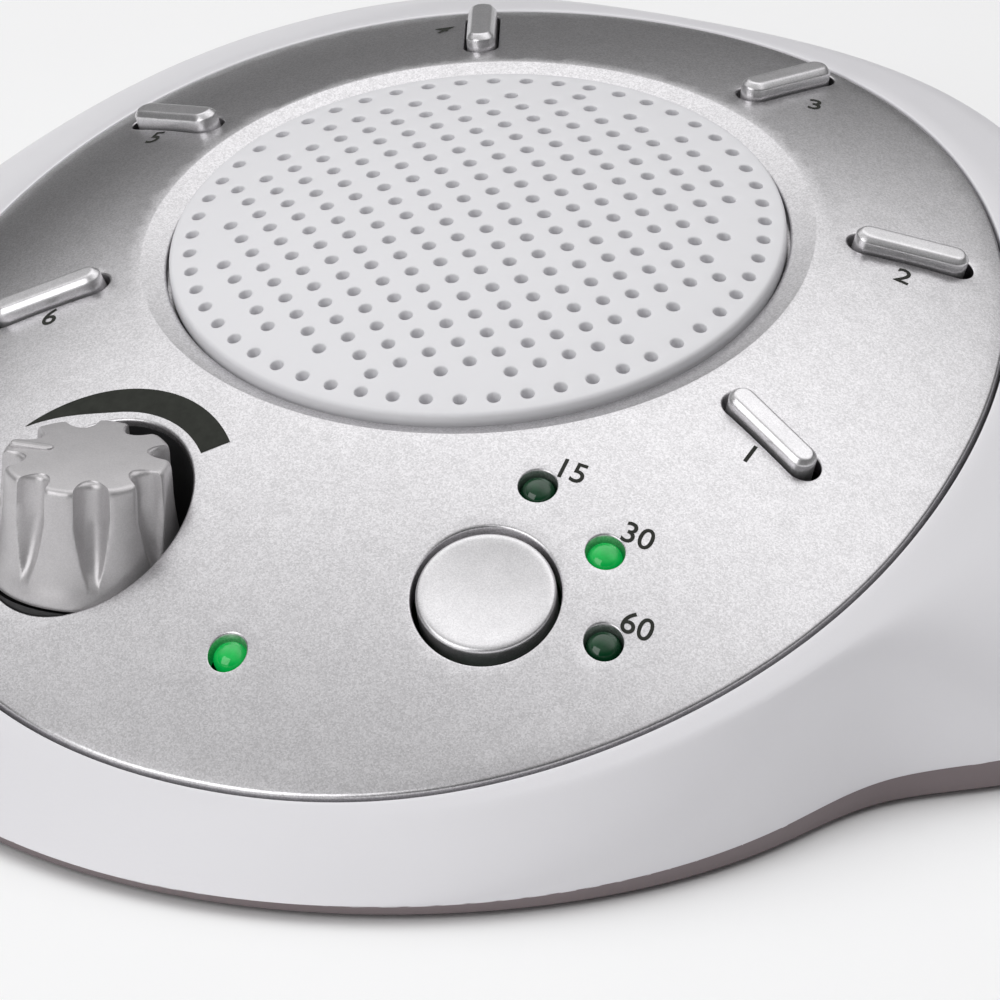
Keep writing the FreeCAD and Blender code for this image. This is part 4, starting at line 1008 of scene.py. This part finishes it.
# Floor
FLOOR_REACH = 6
floor_mesh = bpy.data.meshes.new("floor")
floor_corners = [(x * FLOOR_REACH, y * FLOOR_REACH, 0) for x, y in ((-1, -1), (1, -1), (1, 1), (-1, 1))]
floor_mesh.from_pydata(floor_corners, [], [(0, 1, 2, 3)])
floor = bpy.data.objects.new("floor", floor_mesh)
bpy.context.scene.collection.objects.link(floor)
floor_material, floor_tree, floor_shader = new_material(
    "floor_paper", (0.97, 0.97, 0.975), 0.9, 0.0, 0.0, 0.1)
stops = [(0.3, (0.965, 0.965, 0.97)), (0.7, (0.975, 0.975, 0.98))]
floor_tree.links.new(
    ramp(floor_tree, noise(floor_tree, object_coords(floor_tree), 30.0), stops),
    floor_shader.inputs["Base Color"])
floor_mesh.materials.append(floor_material)

# Sky: bright high up and at the back, dim towards the horizon and the front
world = bpy.data.worlds.new("studio")
bpy.context.scene.world = world
world.use_nodes = True
sky = world.node_tree
background = sky.nodes["Background"]
split = sky.nodes.new("ShaderNodeSeparateXYZ")
sky.links.new(sky.nodes.new("ShaderNodeTexCoord").outputs["Generated"], split.inputs["Vector"])
by_height = ramp(sky, split.outputs["Z"], [
    (0.0, (0.02,) * 3), (0.15, (0.03,) * 3), (0.3, (0.07,) * 3), (0.45, (0.24,) * 3),
    (0.62, (0.7,) * 3), (0.75, (0.92,) * 3), (1.0, (1.0,) * 3)])
depth = sky.nodes.new("ShaderNodeMapRange")
depth.inputs["From Min"].default_value = -1.0
sky.links.new(split.outputs["Y"], depth.inputs["Value"])
by_depth = ramp(sky, depth.outputs["Result"], [
    (0.0, (0.25,) * 3), (0.3, (0.34,) * 3), (0.48, (0.72,) * 3), (0.62, (1.0,) * 3)])
sky.links.new(multiplied(sky, by_height, by_depth), background.inputs["Color"])
background.inputs["Strength"].default_value = 1.6


# Studio light
def soft_light(name, place, target, side, power):
    data = bpy.data.lights.new(name, "AREA")
    data.shape = "SQUARE"
    data.size = side
    data.energy = power
    light = bpy.data.objects.new(name, data)
    light.location = place
    aim = Vector(target) - Vector(place)
    light.rotation_euler = aim.to_track_quat("-Z", "Y").to_euler()
    bpy.context.scene.collection.objects.link(light)


soft_light("front", (-0.55, -1.3, 0.75), (0, 0, 0.02), 1.2, 10.5)

# Camera at the photograph's angle: its axes in the plate's frame, its distance in
# millimetres, and its focal length and the grille's top in pixels of the picture
RIGHT = Vector((0.91572, 0.39619, -0.06699))
UP = Vector((-0.16617, 0.52520, 0.83460))
TOWARDS = Vector((0.3659, -0.7531, 0.5468))
DISTANCE = 1333.3
FOCAL = 12913.0
PICTURE = 1000
MIDDLE = 500
APEX_PIXEL = (475.09, 213.03)
SENSOR = 36.0
spin = Matrix.Rotation(LEAN, 3, "X")
right = (spin @ RIGHT).normalized()
towards = (spin @ TOWARDS).normalized()
to_right = MIDDLE - APEX_PIXEL[0]
to_below = MIDDLE - APEX_PIXEL[1]
aim = (-towards * FOCAL + right * to_right - (spin @ UP) * to_below).normalized()
back = -aim
across = (right - back * right.dot(back)).normalized()
above = back.cross(across)
camera_data = bpy.data.cameras.new("camera")
camera_data.sensor_width = SENSOR
camera_data.sensor_height = SENSOR
camera_data.sensor_fit = "HORIZONTAL"
camera_data.lens = FOCAL / PICTURE * SENSOR
camera_data.clip_start = 0.1
camera_data.clip_end = 20.0
camera = bpy.data.objects.new("camera", camera_data)
placement = Matrix((across, above, back)).transposed().to_4x4()
placement.translation = (APEX + towards * DISTANCE) * MM
camera.matrix_world = placement
bpy.context.scene.collection.objects.link(camera)
bpy.context.scene.camera = camera
bpy.context.scene.view_settings.view_transform = "Standard"
